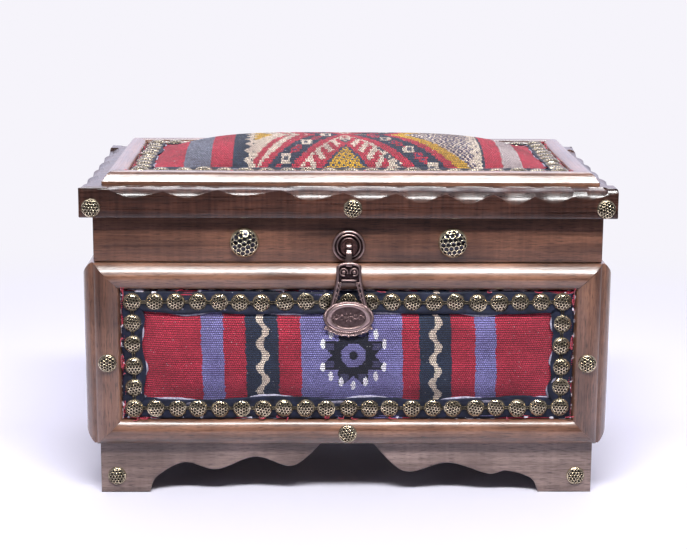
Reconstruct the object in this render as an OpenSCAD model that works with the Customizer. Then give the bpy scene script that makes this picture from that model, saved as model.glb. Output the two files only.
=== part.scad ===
// Small hinged chest: wooden case on bracket feet, padded kilim panels held by rows of
// honeycomb nails, rounded mitred mouldings, a lid with a gouged edge and a copper drop pull.
// X runs to the right, Y to the back and Z up. The origin is on the floor under the middle
// of the whole box, from the front of its pull to the back of its lid.

/* [Case] */
// Width of the case over its boards
case_w = 296; // [240:1:380]
// Depth of the case over its boards
case_d = 166; // [140:1:240]
// Height of the case boards
case_h = 109; // [90:1:150]
// Thickness of the case and rim boards
board_t = 10; // [8:0.5:14]
// Thickness of the bottom board
bottom_t = 8; // [5:0.5:12]

/* [Feet] */
// Height of the feet and skirts
foot_h = 31.5; // [26:0.5:45]
// Thickness of the feet and skirts
foot_t = 10; // [8:0.5:14]
// Setback of the feet from the face of the case
foot_inset = 1.5; // [0:0.5:4]
// Length of each front foot bracket
foot_len = 132; // [100:1:140]
// Side of the glue blocks in the corners
block_w = 16; // [10:1:24]

/* [Lid] */
// Height of the boards under the lid
rim_h = 27.2; // [25:0.2:40]
// Gap between the case and the closed lid
lid_gap = 0.3; // [0.2:0.1:1]
// Thickness of the lid slab
slab_t = 17.5; // [15:0.5:26]
// Overhang of the slab past the rim, all round
slab_over = 7; // [5:0.5:14]
// Bare ledge from the slab's edge to its moulding
slab_ledge = 10.8; // [9:0.1:18]
// Shift of the lid's moulding and cushion to the right
lid_panel_shift = 1.4; // [-3:0.1:3]

/* [Mouldings] */
// Width of the mouldings on the case
rail_w = 15.5; // [13:0.5:20]
// Height of the mouldings on the case
rail_t = 7; // [5.5:0.5:7.5]
// Width of the moulding on the lid
lid_rail_w = 13.5; // [12:0.5:20]
// Height of the moulding on the lid
lid_rail_t = 7.5; // [5:0.5:8]

/* [Kilim panels] */
// Thickness of the batting under the case panels
batting_t = 2; // [1:0.25:3]
// Thickness of the batting on the lid
lid_batting_t = 3.5; // [1:0.25:4]
// Thickness of the kilim where it is nailed down
kilim_t = 1.8; // [1:0.1:2.5]
// Swell of the case panels over their nailed margin
panel_swell = 3.5; // [1:0.25:6]
// Swell of the lid cushion over its nailed margin
lid_swell = 14; // [8:0.5:18]
// Width of the nailed margin round each panel
margin_w = 13.6; // [12.5:0.1:18]

/* [Nails] */
// Diameter of the honeycomb nail heads
nail_d = 11; // [9:0.5:12]
// Height of the honeycomb nail heads
nail_head_h = 2.6; // [1.5:0.1:3.5]
// Distance from one nail head to the next in a strip
nail_pitch = 12.5; // [12.3:0.1:16]
// Diameter of the two large domed nails
dome_d = 17.5; // [14:0.5:20]
// Height of the large domed nails
dome_head_h = 4.5; // [3:0.25:6]
// Distance between the two large domed nails
dome_spacing = 121; // [80:1:180]
// Height of the large domed nails over the rim's lower edge
dome_up = 11.8; // [10.5:0.1:13]
// Diameter of the nail shanks
shank_d = 1.6; // [1.2:0.1:2]
// Distance from the slab's ends to the heads of its end nails
edge_nail_in = 1.5; // [0.5:0.5:12]
// Shift of the slab's middle nail to the right
edge_nail_shift = 2; // [-10:0.5:10]
// Distance of a foot's nail from its outer edge
foot_nail_in = 9.5; // [7:0.5:16]
// Height of a foot's nail over the floor
foot_nail_up = 10.5; // [8:0.5:14]
// Drop of the frame's side nails below its middle
frame_nail_drop = 4; // [-10:0.5:10]
// Depth that a single nail reaches into the wood
shank_l = 7; // [4:0.5:7.5]

/* [Hinges] */
// Distance between the middles of the two hinges
hinge_spacing = 180; // [120:1:200]
// Width of a hinge
hinge_w = 26; // [20:1:36]
// Height of one hinge leaf
leaf_h = 13; // [11:0.5:16]
// Thickness of a hinge leaf
leaf_t = 1.2; // [0.8:0.1:1.6]
// Diameter of a hinge knuckle
knuckle_d = 5; // [4.5:0.1:6]
// Diameter of a hinge pin
hinge_pin_d = 2; // [1.6:0.1:2.4]
// Distance between the two screws of a leaf
screw_spacing = 15; // [8:1:15]
// Diameter of the screw heads
screw_head_d = 4; // [3.5:0.1:5]
// Diameter of the screw shanks
screw_d = 1.8; // [1.5:0.1:2.2]
// Length of the screws in the wood
screw_l = 6.5; // [4:0.5:7]

/* [Drop pull] */
// Diameter of the rosette
rosette_d = 19; // [16:0.5:20]
// Height of the post over the board
post_out = 8.2; // [8:0.1:9.5]
// Diameter of the post's slotted head
post_d = 9.2; // [8.6:0.1:11]
// Diameter of the pin that the pendant swings on
pull_pin_d = 1.8; // [1.4:0.1:2]
// Thickness of the pendant's tongue
tongue_t = 3.8; // [3:0.1:4.2]
// Thickness of the cast pendant
pendant_t = 2.2; // [1.6:0.1:3]
// Distance from the pin to the middle of the medallion
medallion_drop = 40.5; // [39:0.5:46]
// Width of the medallion
medallion_w = 29.4; // [26:0.2:34]
// Height of the medallion without its fringe
medallion_h = 18.8; // [16:0.2:22]

/* [Hidden] */
$fn = 48;
eps = 0.02;             // how far a cutter runs past the face that it cuts
fit = 0.1;              // clearance round a shank in its hole
soft_gap = 0.3;         // clearance round a soft panel
run_gap = 0.2;          // clearance between turning metal pieces

walnut = "#6b4128";
frame_brown = "#8a5a3a";
apron_brown = "#5d4030";
kilim_red = "#b8263f";
batting_white = "#e4dccb";
antique_brass = "#a08a4f";
copper = "#7d4a3a";
steel = "#8c857a";

case_z = foot_h;                       // underside of the case
case_top = case_z + case_h;
rim_z = case_top + lid_gap;            // underside of the lid's rim
slab_z = rim_z + rim_h;
slab_top = slab_z + slab_t;
slab_w = case_w + 2*slab_over;
slab_d = case_d + 2*slab_over;
moulding_w = slab_w - 2*slab_ledge;    // outer size of the lid's moulding
moulding_d = slab_d - 2*slab_ledge;
base_w = case_w - 2*foot_inset;
base_d = case_d - 2*foot_inset;

// The case stands a little to the back, so that the origin is under the middle of the whole box.
module placed() { translate([0, middle_shift, 0]) children(); }

// ---------- places: each face as a sheet with x along it, y up it and z out of it ----------
module on_front() { translate([-case_w/2, -case_d/2, case_z]) rotate([90, 0, 0]) children(); }
module on_right() { translate([case_w/2, -case_d/2, case_z]) rotate([90, 0, 90]) children(); }
module on_left() { translate([-case_w/2, case_d/2, case_z]) rotate([90, 0, -90]) children(); }
module on_back(z) { translate([0, case_d/2, z]) rotate([90, 0, 180]) children(); }
module on_rim_front() { translate([0, -case_d/2, rim_z]) rotate([90, 0, 0]) children(); }
module on_slab_front() { translate([0, -slab_d/2, slab_z]) rotate([90, 0, 0]) children(); }
module on_foot_front() { translate([0, -base_d/2, 0]) rotate([90, 0, 0]) children(); }
module on_lid() {
  translate([-moulding_w/2 + lid_panel_shift, -moulding_d/2, slab_top]) children();
}

// ---------- nails ----------
module cap(d, h) {
  r = (d*d/4 + h*h)/(2*h);
  intersection() {
    translate([0, 0, h - r]) sphere(r);
    cylinder(d = d + 1, h = h + 1);
  }
}
module nail(d, h, depth) {
  cap(d, h);
  translate([0, 0, -depth]) cylinder(d = shank_d, h = depth + h/4);
}
module nail_hole(depth) {
  translate([0, 0, -depth - fit]) cylinder(d = shank_d + fit, h = depth + fit + eps);
}

// Heads in a closed row round a w x h rectangle, evenly spaced on each side.
module nail_row(w, h) {
  across = max(2, round(w/nail_pitch));
  up = max(2, round(h/nail_pitch));
  for (i = [0:across]) for (y = [0, h]) translate([i*w/across, y, 0]) cap(nail_d, nail_head_h);
  for (j = [1:up - 1]) for (x = [0, w]) translate([x, j*h/up, 0]) cap(nail_d, nail_head_h);
}

// ---------- mouldings ----------
// Rounded section, w wide and t high, that runs len along X with mitred ends.
module mitred_rail(len, w, t) {
  lip = 1.5;                           // straight part of the section's edge
  rise = t - lip;
  r = (w*w/4 + rise*rise)/(2*rise);
  intersection() {
    linear_extrude(t + 1) polygon([[0, 0], [len, 0], [len - w, w], [w, w]]);
    rotate([90, 0, 90]) linear_extrude(len) intersection() {
      square([w, t]);
      union() {
        square([w, lip]);
        translate([w/2, t - r]) circle(r, $fn = 96);
      }
    }
  }
}
// One side of a mitred frame of outer size w x h.
module frame_side(side, w, h, width, t) {
  if (side == "bottom") mitred_rail(w, width, t);
  if (side == "top") translate([w, h, 0]) rotate(180) mitred_rail(w, width, t);
  if (side == "left") translate([0, h, 0]) rotate(-90) mitred_rail(h, width, t);
  if (side == "right") translate([w, 0, 0]) rotate(90) mitred_rail(h, width, t);
}

// ---------- padded panels ----------
// A flat pad inside the frame opening, with a soft clearance.
module pad(w, h, width, t) {
  edge = width + soft_gap;
  translate([edge, edge, 0]) cube([w - 2*edge, h - 2*edge, t]);
}
// Points of a crown over a span, flatter in its middle than a circle.
function crown(span, base, swell, steps = 20) = concat([[span, 0], [0, 0]],
  [for (i = [0:steps]) [span*i/steps, base + swell*(1 - pow(abs(2*i/steps - 1), 2.6))]]);
// A kilim with a flat nailed margin and a crowned middle.
module crowned_kilim(w, h, width, swell) {
  edge = width + soft_gap + margin_w;
  across = w - 2*edge;
  up = h - 2*edge;
  pad(w, h, width, kilim_t);
  translate([edge, edge, 0]) intersection() {
    translate([0, up, 0]) rotate([90, 0, 0]) linear_extrude(up) polygon(crown(across, kilim_t, swell));
    rotate([90, 0, 90]) linear_extrude(across) polygon(crown(up, kilim_t, swell));
  }
}
// The nail strip lies on the middle of the margin.
module strip(w, h, width) {
  inset = width + soft_gap + margin_w/2;
  translate([inset, inset, 0]) nail_row(w - 2*inset, h - 2*inset);
}

// ---------- case ----------
module front_board() {
  color(walnut) difference() {
    translate([-case_w/2, -case_d/2, case_z]) cube([case_w, board_t, case_h]);
    on_front() frame_nail_places() nail_hole(shank_l);
  }
}
module back_board() {
  color(walnut) difference() {
    translate([-case_w/2, case_d/2 - board_t, case_z]) cube([case_w, board_t, case_h]);
    hinge_places(hinge_z) screw_places(-1) screw_hole();
  }
}
module side_board(x) {
  color(walnut) translate([x, -case_d/2 + board_t, case_z])
    cube([board_t, case_d - 2*board_t, case_h]);
}
module bottom_board() {
  color(walnut) translate([-case_w/2 + board_t, -case_d/2 + board_t, case_z])
    cube([case_w - 2*board_t, case_d - 2*board_t, bottom_t]);
}

// ---------- feet ----------
// Smooth curve through the knots (Catmull-Rom), for the hand-sawn lower edge.
function blend4(a, b, c, d, t) =
  0.5*(2*b + (c - a)*t + (2*a - 5*b + 4*c - d)*t*t + (3*b - a - 3*c + d)*t*t*t);
function curve(k, steps = 6) = [
  for (i = [0:len(k) - 2]) for (s = [0:steps - 1])
    blend4(k[max(i - 1, 0)], k[i], k[i + 1], k[min(i + 2, len(k) - 1)], s/steps),
  k[len(k) - 1]
];
// Knots of the sawn edge: distance from the outer end as a share of the bracket's length,
// height as a share of the foot's height.
left_edge = [[0.22, 0], [0.25, 0.30], [0.375, 0.59], [0.52, 0.45], [0.695, 0.70], [0.865, 0.52], [1, 1]];
right_edge = [[0.24, 0], [0.275, 0.27], [0.385, 0.42], [0.47, 0.36], [0.655, 0.58], [0.85, 0.41], [1, 1]];
skirt_edge = [[0.16, 0], [0.185, 0.30], [0.28, 0.56], [0.37, 0.45], [0.5, 0.70]];
function scaled(k, w) = [for (p = k) [p[0]*w, p[1]*foot_h]];
function mirrored(k, w) = [for (i = [len(k) - 1:-1:0]) [w - k[i][0], k[i][1]]];

module bracket(knots, w) {
  linear_extrude(foot_t) polygon(concat([[0, foot_h], [0, 0]], curve(scaled(knots, w))));
}
module skirt(w) {
  half = curve(scaled(skirt_edge, w));
  other = mirrored(half, w);
  linear_extrude(foot_t) polygon(concat([[0, foot_h], [0, 0]], half,
    [for (i = [1:len(other) - 1]) other[i]], [[w, 0], [w, foot_h]]));
}
module foot_nail_place() { translate([foot_nail_in, foot_nail_up, 0]) children(); }

module foot_front_left() {
  color(apron_brown) on_foot_front() translate([-base_w/2, 0, -foot_t]) difference() {
    bracket(left_edge, foot_len);
    translate([0, 0, foot_t]) foot_nail_place() nail_hole(shank_l);
  }
}
module foot_front_right() {
  color(apron_brown) on_foot_front() mirror([1, 0, 0]) translate([-base_w/2, 0, -foot_t])
    difference() {
      bracket(right_edge, foot_len);
      translate([0, 0, foot_t]) foot_nail_place() nail_hole(shank_l);
    }
}
module skirt_side(sx) {
  color(apron_brown) translate([sx*base_w/2, -base_d/2 + foot_t, 0]) mirror([sx > 0 ? 1 : 0, 0, 0])
    rotate([90, 0, 90]) skirt(base_d - 2*foot_t);
}
module foot_back(knots, sx) {
  color(apron_brown) translate([sx*base_w/2, base_d/2, 0]) mirror([sx > 0 ? 1 : 0, 0, 0])
    rotate([90, 0, 0]) bracket(knots, foot_len);
}
module corner_blocks() {
  block_h = foot_h - 3;
  inner_x = base_w/2 - foot_t - block_w;
  inner_y = base_d/2 - foot_t - block_w;
  color(walnut) for (sx = [-1, 1]) for (sy = [-1, 1])
    translate([sx > 0 ? inner_x : -inner_x - block_w, sy > 0 ? inner_y : -inner_y - block_w, 3])
      cube([block_w, block_w, block_h]);
}

// ---------- frames and panels on the case ----------
module frame_nail_places() {
  side_up = case_h/2 - frame_nail_drop;
  for (x = [rail_w/2, case_w - rail_w/2]) translate([x, side_up, 0]) children();
  translate([case_w/2, rail_w/2, 0]) children();
}
module front_frame(side) {
  color(frame_brown) on_front() difference() {
    frame_side(side, case_w, case_h, rail_w, rail_t);
    translate([0, 0, rail_t]) frame_nail_places() nail_hole(rail_t + shank_l);
  }
}
module side_frame(side) {
  color(frame_brown) frame_side(side, case_d, case_h, rail_w, rail_t);
}
module frame_nails() {
  color(antique_brass) on_front() translate([0, 0, rail_t]) frame_nail_places()
    nail(nail_d, nail_head_h, shank_l + rail_t - fit);
}
module foot_nails() {
  color(antique_brass) on_foot_front() for (sx = [0, 1]) mirror([sx, 0, 0])
    translate([-base_w/2, 0, 0]) foot_nail_place() nail(nail_d, nail_head_h, shank_l);
}
module panel_batting(w) { color(batting_white) pad(w, case_h, rail_w, batting_t); }
module panel_kilim(w) {
  color(kilim_red) translate([0, 0, batting_t]) crowned_kilim(w, case_h, rail_w, panel_swell);
}
module panel_strip(w) {
  color(antique_brass) translate([0, 0, batting_t + kilim_t]) strip(w, case_h, rail_w);
}

// ---------- hinges ----------
hinge_out = knuckle_d/2 + fit;         // the pin's distance behind the back boards
hinge_z = case_top + lid_gap/2;
knuckle_l = hinge_w/3;
leaf_clear = knuckle_d/2 + run_gap;    // height of the leaf's edge over the pin

module hinge_places(z) {
  for (x = [-hinge_spacing/2, hinge_spacing/2]) translate([x, 0, 0]) on_back(z) children();
}
// Two screws in each leaf, under (-1) or over (+1) the joint.
module screw_places(dir) {
  up = (leaf_clear + leaf_h)/2 + 0.5;
  for (x = [-screw_spacing/2, screw_spacing/2]) translate([x, dir*up, 0]) children();
}
module screw_hole() {
  translate([0, 0, -screw_l - fit]) cylinder(d = screw_d + fit, h = screw_l + fit + leaf_t + eps);
}
module screw() {
  translate([0, 0, -screw_l]) cylinder(d = screw_d, h = screw_l + leaf_t + 0.3);
  translate([0, 0, leaf_t]) cap(screw_head_d, 1);
}
// A leaf with its knuckles, cut free of the knuckles between them.
module leaf(dir, knuckles) {
  difference() {
    union() {
      translate([-hinge_w/2, dir > 0 ? leaf_clear : -leaf_h, 0])
        cube([hinge_w, leaf_h - leaf_clear, leaf_t]);
      for (k = knuckles) translate([(k - 1.5)*knuckle_l + run_gap/2, 0, 0]) {
        width = knuckle_l - run_gap;
        translate([0, 0, hinge_out]) rotate([0, 90, 0]) cylinder(d = knuckle_d, h = width);
        translate([0, dir > 0 ? 0 : -leaf_clear - eps, fit]) cube([width, leaf_clear + eps, leaf_t - fit]);
      }
    }
    translate([-hinge_w/2 - eps, 0, hinge_out]) rotate([0, 90, 0])
      cylinder(d = hinge_pin_d + run_gap, h = hinge_w + 2*eps);
    screw_places(dir) screw_hole();
  }
}
module hinge_lower_leaves() { color(steel) hinge_places(hinge_z) leaf(-1, [0, 2]); }
module hinge_upper_leaves() { color(steel) hinge_places(hinge_z) leaf(1, [1]); }
module hinge_pins() {
  color(steel) hinge_places(hinge_z) translate([-hinge_w/2 - 0.4, 0, hinge_out])
    rotate([0, 90, 0]) cylinder(d = hinge_pin_d, h = hinge_w + 0.8);
}
module hinge_lower_screws() { color(steel) hinge_places(hinge_z) screw_places(-1) screw(); }
module hinge_upper_screws() { color(steel) hinge_places(hinge_z) screw_places(1) screw(); }

// ---------- lid ----------
// Widths of the gouge cuts along the slab's front edge, left to right, then its side edges.
front_gouges = [31, 32, 32, 36, 36, 30, 28, 28, 24, 21, 12];
side_gouges = [30, 28, 32, 26, 34, 30];
function total(v, n) = n <= 0 ? 0 : v[n - 1] + total(v, n - 1);
gouge_deep = 9;                        // depth of a cut on the slab's side, at its middle
gouge_cusp = 4;                        // depth left between two cuts
gouge_reach = 3.5;                     // reach of a cut into the top face

// One ball-shaped gouge cut of width p on an edge along X, with the slab below and behind.
module gouge(p) {
  up = (p*p/4 - (gouge_deep*gouge_deep - gouge_cusp*gouge_cusp))/(2*(gouge_deep - gouge_cusp));
  lift = max(up, 1);
  side_r = lift + gouge_deep;
  out = (side_r*side_r - lift*lift - gouge_reach*gouge_reach)/(2*gouge_reach);
  translate([0, -out, lift]) sphere(sqrt(side_r*side_r + out*out));
}
// A row of gouge cuts that fills an edge of the given length.
module gouge_row(widths, length) {
  all = total(widths, len(widths));
  for (i = [0:len(widths) - 1])
    translate([(total(widths, i) + widths[i]/2)*length/all, 0, 0]) gouge(widths[i]*length/all);
}
module lid_top() {
  color(walnut) difference() {
    translate([-slab_w/2, -slab_d/2, slab_z]) cube([slab_w, slab_d, slab_t]);
    translate([-slab_w/2, -slab_d/2, slab_top]) gouge_row(front_gouges, slab_w);
    translate([slab_w/2, slab_d/2, slab_top]) rotate(180) gouge_row(front_gouges, slab_w);
    translate([slab_w/2, -slab_d/2, slab_top]) rotate(90) gouge_row(side_gouges, slab_d);
    translate([-slab_w/2, slab_d/2, slab_top]) rotate(-90) gouge_row(side_gouges, slab_d);
    on_slab_front() edge_nail_places() nail_hole(shank_l);
  }
}
module edge_nail_places() {
  end_x = slab_w/2 - nail_d/2 - edge_nail_in;
  for (x = [-end_x, edge_nail_shift, end_x]) translate([x, nail_d/2 + soft_gap, 0]) children();
}
module lid_edge_nails() {
  color(antique_brass) on_slab_front() edge_nail_places() nail(nail_d, nail_head_h, shank_l);
}
module dome_nail_places() {
  for (x = [-dome_spacing/2, dome_spacing/2]) translate([x, dome_up, 0]) children();
}
module rim_dome_nails() {
  color(antique_brass) on_rim_front() dome_nail_places() nail(dome_d, dome_head_h, shank_l);
}
module lid_rim_front() {
  color(walnut) difference() {
    translate([-case_w/2, -case_d/2, rim_z]) cube([case_w, board_t, rim_h]);
    on_rim_front() {
      dome_nail_places() nail_hole(shank_l);
      translate([0, pull_up, -board_t - eps]) cylinder(d = post_shank_d + 2*fit, h = board_t + 2*eps);
    }
  }
}
module lid_rim_back() {
  color(walnut) difference() {
    translate([-case_w/2, case_d/2 - board_t, rim_z]) cube([case_w, board_t, rim_h]);
    hinge_places(hinge_z) screw_places(1) screw_hole();
  }
}
module lid_rim_side(x) {
  color(walnut) translate([x, -case_d/2 + board_t, rim_z])
    cube([board_t, case_d - 2*board_t, rim_h]);
}
module lid_moulding(side) {
  color(frame_brown) on_lid() frame_side(side, moulding_w, moulding_d, lid_rail_w, lid_rail_t);
}
module lid_batting() {
  color(batting_white) on_lid() pad(moulding_w, moulding_d, lid_rail_w, lid_batting_t);
}
module lid_kilim() {
  color(kilim_red) on_lid() translate([0, 0, lid_batting_t])
    crowned_kilim(moulding_w, moulding_d, lid_rail_w, lid_swell);
}
module lid_nail_strip() {
  color(antique_brass) on_lid() translate([0, 0, lid_batting_t + kilim_t])
    strip(moulding_w, moulding_d, lid_rail_w);
}

// ---------- drop pull ----------
pull_up = rosette_d/2 + 0.5;           // the rosette's middle over the rim's lower edge
plate_t = 1.4;                         // the rosette's plate
post_base = 2.0;                       // height of the rosette's middle, where the post sits
post_shank_d = 4;
pull_eye_r = 2.4;
slot_floor = post_base + 1;
pin_out = slot_floor + pull_eye_r + run_gap;   // the pin's distance in front of the board
panel_out = batting_t + kilim_t + panel_swell;
pendant_out = max(rail_t, panel_out) + 0.6;    // back of the pendant, clear of what it hangs over
washer_d = 9;
washer_t = 0.8;
bezel_h = 0.6;                         // height of the medallion's bezel over the pendant
// Shift of the case to the back.
middle_shift = (pendant_out + pendant_t + bezel_h - slab_over)/2;

module on_pull() { on_rim_front() translate([0, pull_up, 0]) children(); }
module pull_rosette() {
  r = rosette_d/2;
  color(copper) on_pull() difference() {
    rotate_extrude() polygon([[0, 0], [r, 0], [r, 1.6], [r - 0.9, 2.6], [r - 2, 2.6],
      [r - 2.8, plate_t], [post_d/2, plate_t], [post_d/2 - 0.8, post_base], [0, post_base]]);
    translate([0, 0, -eps]) cylinder(d = post_shank_d + 2*fit, h = post_base + 2*eps);
  }
}
module pull_post() {
  color(copper) on_pull() difference() {
    union() {
      translate([0, 0, post_base]) cylinder(d = post_d, h = post_out - post_base);
      translate([0, 0, -board_t - washer_t]) cylinder(d = post_shank_d, h = board_t + washer_t + post_base);
      translate([0, 0, -board_t - washer_t - 1.2]) cylinder(d = post_shank_d + 2, h = 1.2);
    }
    translate([-tongue_t/2 - run_gap, -post_d, slot_floor]) cube([tongue_t + 2*run_gap, 2*post_d, post_out]);
    translate([-post_d, 0, pin_out]) rotate([0, 90, 0]) cylinder(d = pull_pin_d, h = 2*post_d);
  }
}
module pull_washer() {
  color(copper) on_pull() translate([0, 0, -board_t - washer_t]) difference() {
    cylinder(d = washer_d, h = washer_t);
    translate([0, 0, -eps]) cylinder(d = post_shank_d + 2*fit, h = washer_t + 2*eps);
  }
}
module pull_pin() {
  length = sqrt(post_d*post_d - 1) - 0.2;
  color(copper) on_pull() translate([-length/2, 0, pin_out]) rotate([0, 90, 0])
    cylinder(d = pull_pin_d, h = length);
}

// Outline of the oval medallion, grown by g.
module oval(g = 0) {
  polygon([for (a = [0:6:354]) [(medallion_w/2 + g)*cos(a), (medallion_h/2 + g)*sin(a)]]);
}
// Places down the pendant, from the pin.
scroll_y = -13.8;
scroll_x = 3.1;
scroll_r = 3.7;
tongue_heel = 2;                       // half-thickness of the tongue by its eye
tongue_bend = 8;                       // where the tongue reaches the pendant's back
tongue_brow = 3;                       // and its front
arm_top = -18;
arm_in = 4.6;                          // distance of an arm from the middle, at its top
arm_end_in = 5.1;                      // distance of its end from the medallion's end
arm_out = medallion_w/2 - arm_end_in;
arm_w = 3.4;
collar_w = 10.4;
collar_h = 5;

module pull_arm(sx) {
  reach = [sx*(arm_out - arm_in), -medallion_drop - arm_top];
  angle = atan2(reach[1], reach[0]);
  translate([sx*arm_in, arm_top]) rotate(angle) translate([0, -arm_w/2]) square([norm(reach), arm_w]);
}
module pull_pendant() {
  color(copper) on_pull() difference() {
    union() {
      // the tongue, with its eye
      translate([-tongue_t/2, 0, pin_out]) rotate([0, 90, 0]) cylinder(r = pull_eye_r, h = tongue_t);
      translate([tongue_t/2, 0, 0]) rotate([0, -90, 0]) linear_extrude(tongue_t)
        polygon([[pin_out - tongue_heel, -tongue_heel/2], [pendant_out, -tongue_bend],
          [pendant_out, scroll_y], [pendant_out + pendant_t, scroll_y],
          [pendant_out + pendant_t, -tongue_brow], [pin_out + tongue_heel*0.75, tongue_heel*0.7]]);
      // the shoulders with their two scrolls, the collar and the arms
      translate([0, 0, pendant_out]) linear_extrude(pendant_t) difference() {
        union() {
          for (sx = [-1, 1]) translate([sx*scroll_x, scroll_y]) circle(scroll_r);
          translate([-collar_w/2, arm_top - 2]) square([collar_w, collar_h]);
          for (sx = [-1, 1]) pull_arm(sx);
        }
        translate([0, -medallion_drop]) oval();
      }
    }
    translate([-tongue_t, 0, pin_out]) rotate([0, 90, 0])
      cylinder(d = pull_pin_d + run_gap, h = 2*tongue_t);
  }
}
module pull_medallion() {
  bezel_w = 3.2;
  bead_r = 2.1;
  bead_out = 1.1;                      // how far the beads' middles stand out of the oval
  color(copper) on_pull() translate([0, -medallion_drop, pendant_out]) {
    linear_extrude(pendant_t) oval();
    translate([0, 0, pendant_t]) linear_extrude(bezel_h) difference() {
      oval(-0.4);
      oval(-bezel_w);
    }
    // the fringe of beads under the oval
    for (a = [-140:20:-40])
      translate([(medallion_w/2 + bead_out)*cos(a), (medallion_h/2 + bead_out)*sin(a), 0])
        cylinder(r = bead_r, h = pendant_t);
  }
}

placed() front_board();
placed() back_board();
placed() side_board(-case_w/2);  // left_board
placed() side_board(case_w/2 - board_t);  // right_board
placed() bottom_board();
placed() foot_front_left();
placed() foot_front_right();
placed() foot_back(right_edge, -1);  // foot_back_left
placed() foot_back(left_edge, 1);  // foot_back_right
placed() skirt_side(-1);  // skirt_left
placed() skirt_side(1);  // skirt_right
placed() corner_blocks();
placed() front_frame("bottom");  // front_frame_bottom
placed() front_frame("top");  // front_frame_top
placed() front_frame("left");  // front_frame_left
placed() front_frame("right");  // front_frame_right
placed() on_left() side_frame("bottom");  // left_frame_bottom
placed() on_left() side_frame("top");  // left_frame_top
placed() on_left() side_frame("left");  // left_frame_left
placed() on_left() side_frame("right");  // left_frame_right
placed() on_right() side_frame("bottom");  // right_frame_bottom
placed() on_right() side_frame("top");  // right_frame_top
placed() on_right() side_frame("left");  // right_frame_left
placed() on_right() side_frame("right");  // right_frame_right
placed() on_front() panel_batting(case_w);  // front_batting
placed() on_left() panel_batting(case_d);  // left_batting
placed() on_right() panel_batting(case_d);  // right_batting
placed() on_front() panel_kilim(case_w);  // front_kilim
placed() on_left() panel_kilim(case_d);  // left_kilim
placed() on_right() panel_kilim(case_d);  // right_kilim
placed() on_front() panel_strip(case_w);  // front_nail_strip
placed() on_left() panel_strip(case_d);  // left_nail_strip
placed() on_right() panel_strip(case_d);  // right_nail_strip
placed() frame_nails();
placed() foot_nails();
placed() hinge_lower_leaves();
placed() hinge_pins();
placed() hinge_lower_screws();
placed() lid_top();
placed() lid_rim_front();
placed() lid_rim_back();
placed() lid_rim_side(-case_w/2);  // lid_rim_left
placed() lid_rim_side(case_w/2 - board_t);  // lid_rim_right
placed() lid_moulding("bottom");  // lid_moulding_front
placed() lid_moulding("top");  // lid_moulding_back
placed() lid_moulding("left");  // lid_moulding_left
placed() lid_moulding("right");  // lid_moulding_right
placed() lid_batting();
placed() lid_kilim();
placed() lid_nail_strip();
placed() lid_edge_nails();
placed() rim_dome_nails();
placed() hinge_upper_leaves();
placed() hinge_upper_screws();
placed() pull_rosette();
placed() pull_post();
placed() pull_washer();
placed() pull_pin();
placed() pull_pendant();
placed() pull_medallion();
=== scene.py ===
"""Dresses a small kilim-covered wooden chest: varnished wood, woven panels, honeycomb nails, copper pull."""
import math

import bmesh
import bpy
import numpy as np
from bpy.props import FloatProperty, PointerProperty, StringProperty
from mathutils import Matrix, Vector


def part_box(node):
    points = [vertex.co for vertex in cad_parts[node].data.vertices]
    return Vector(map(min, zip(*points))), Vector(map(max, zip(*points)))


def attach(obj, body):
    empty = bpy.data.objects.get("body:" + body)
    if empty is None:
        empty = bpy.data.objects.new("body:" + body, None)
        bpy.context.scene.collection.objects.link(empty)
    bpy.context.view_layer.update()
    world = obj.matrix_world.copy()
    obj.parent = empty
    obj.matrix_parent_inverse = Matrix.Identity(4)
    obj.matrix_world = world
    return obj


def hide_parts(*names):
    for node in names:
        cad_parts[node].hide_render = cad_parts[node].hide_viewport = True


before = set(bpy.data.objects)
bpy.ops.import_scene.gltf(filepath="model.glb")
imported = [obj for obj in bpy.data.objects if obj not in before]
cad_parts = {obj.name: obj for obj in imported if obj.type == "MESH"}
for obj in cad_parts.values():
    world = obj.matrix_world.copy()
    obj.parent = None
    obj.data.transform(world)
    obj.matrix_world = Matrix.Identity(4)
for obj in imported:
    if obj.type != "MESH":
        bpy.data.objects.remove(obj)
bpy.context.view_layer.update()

bl_info = {
    "name": "Kilim-covered wooden chest",
    "version": (1, 0, 0),
    "blender": (4, 5, 0),
    "location": "View3D > Sidebar > Chest",
    "description": "Wood, woven panels, honeycomb nails and a copper drop pull for a small chest",
    "category": "Object",
}

MM = 0.001
X, Y, Z = np.eye(3)
NAIL_MARGIN = 13.6 * MM                # width of a panel's nailed margin
SOFT_GAP = 0.3 * MM                    # clearance between a frame and its padding
WELD = 1e-6                            # points closer than this become one


# ---------------------------------------------------------------- places read from the frame
def corners(node):
    """The lowest and highest corner of a CAD node, as arrays."""
    low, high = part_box(node)
    return np.array(low), np.array(high)


class Face:
    """A flat face of the chest: the point (x, y, z) on it is corner + x along + y up + z out."""

    def __init__(self, corner, along, up, out, width, height, rail):
        self.corner, self.along, self.up, self.out = np.array(corner), along, up, out
        self.width, self.height, self.rail = width, height, rail

    def place(self, x, y, z):
        """Points for arrays of x along, y up and z out, in metres."""
        x, y, z = np.broadcast_arrays(x, y, z)
        return (self.corner + x[..., None] * self.along + y[..., None] * self.up
                + z[..., None] * self.out)

    def levels(self, node):
        """How far a node's back and front stand out from the face."""
        low, high = corners(node)
        return sorted(((low - self.corner) @ self.out, (high - self.corner) @ self.out))


def case_face(prefix, corner, along, out):
    """A face of the case, as wide and high as its mitred frame."""
    low, high = corners(prefix + "_frame_bottom")
    rail = high[2] - low[2]
    return Face(corner(low, high), along, Z, out, np.abs((high - low) @ along),
                corners(prefix + "_frame_top")[1][2] - low[2], rail)


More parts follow.
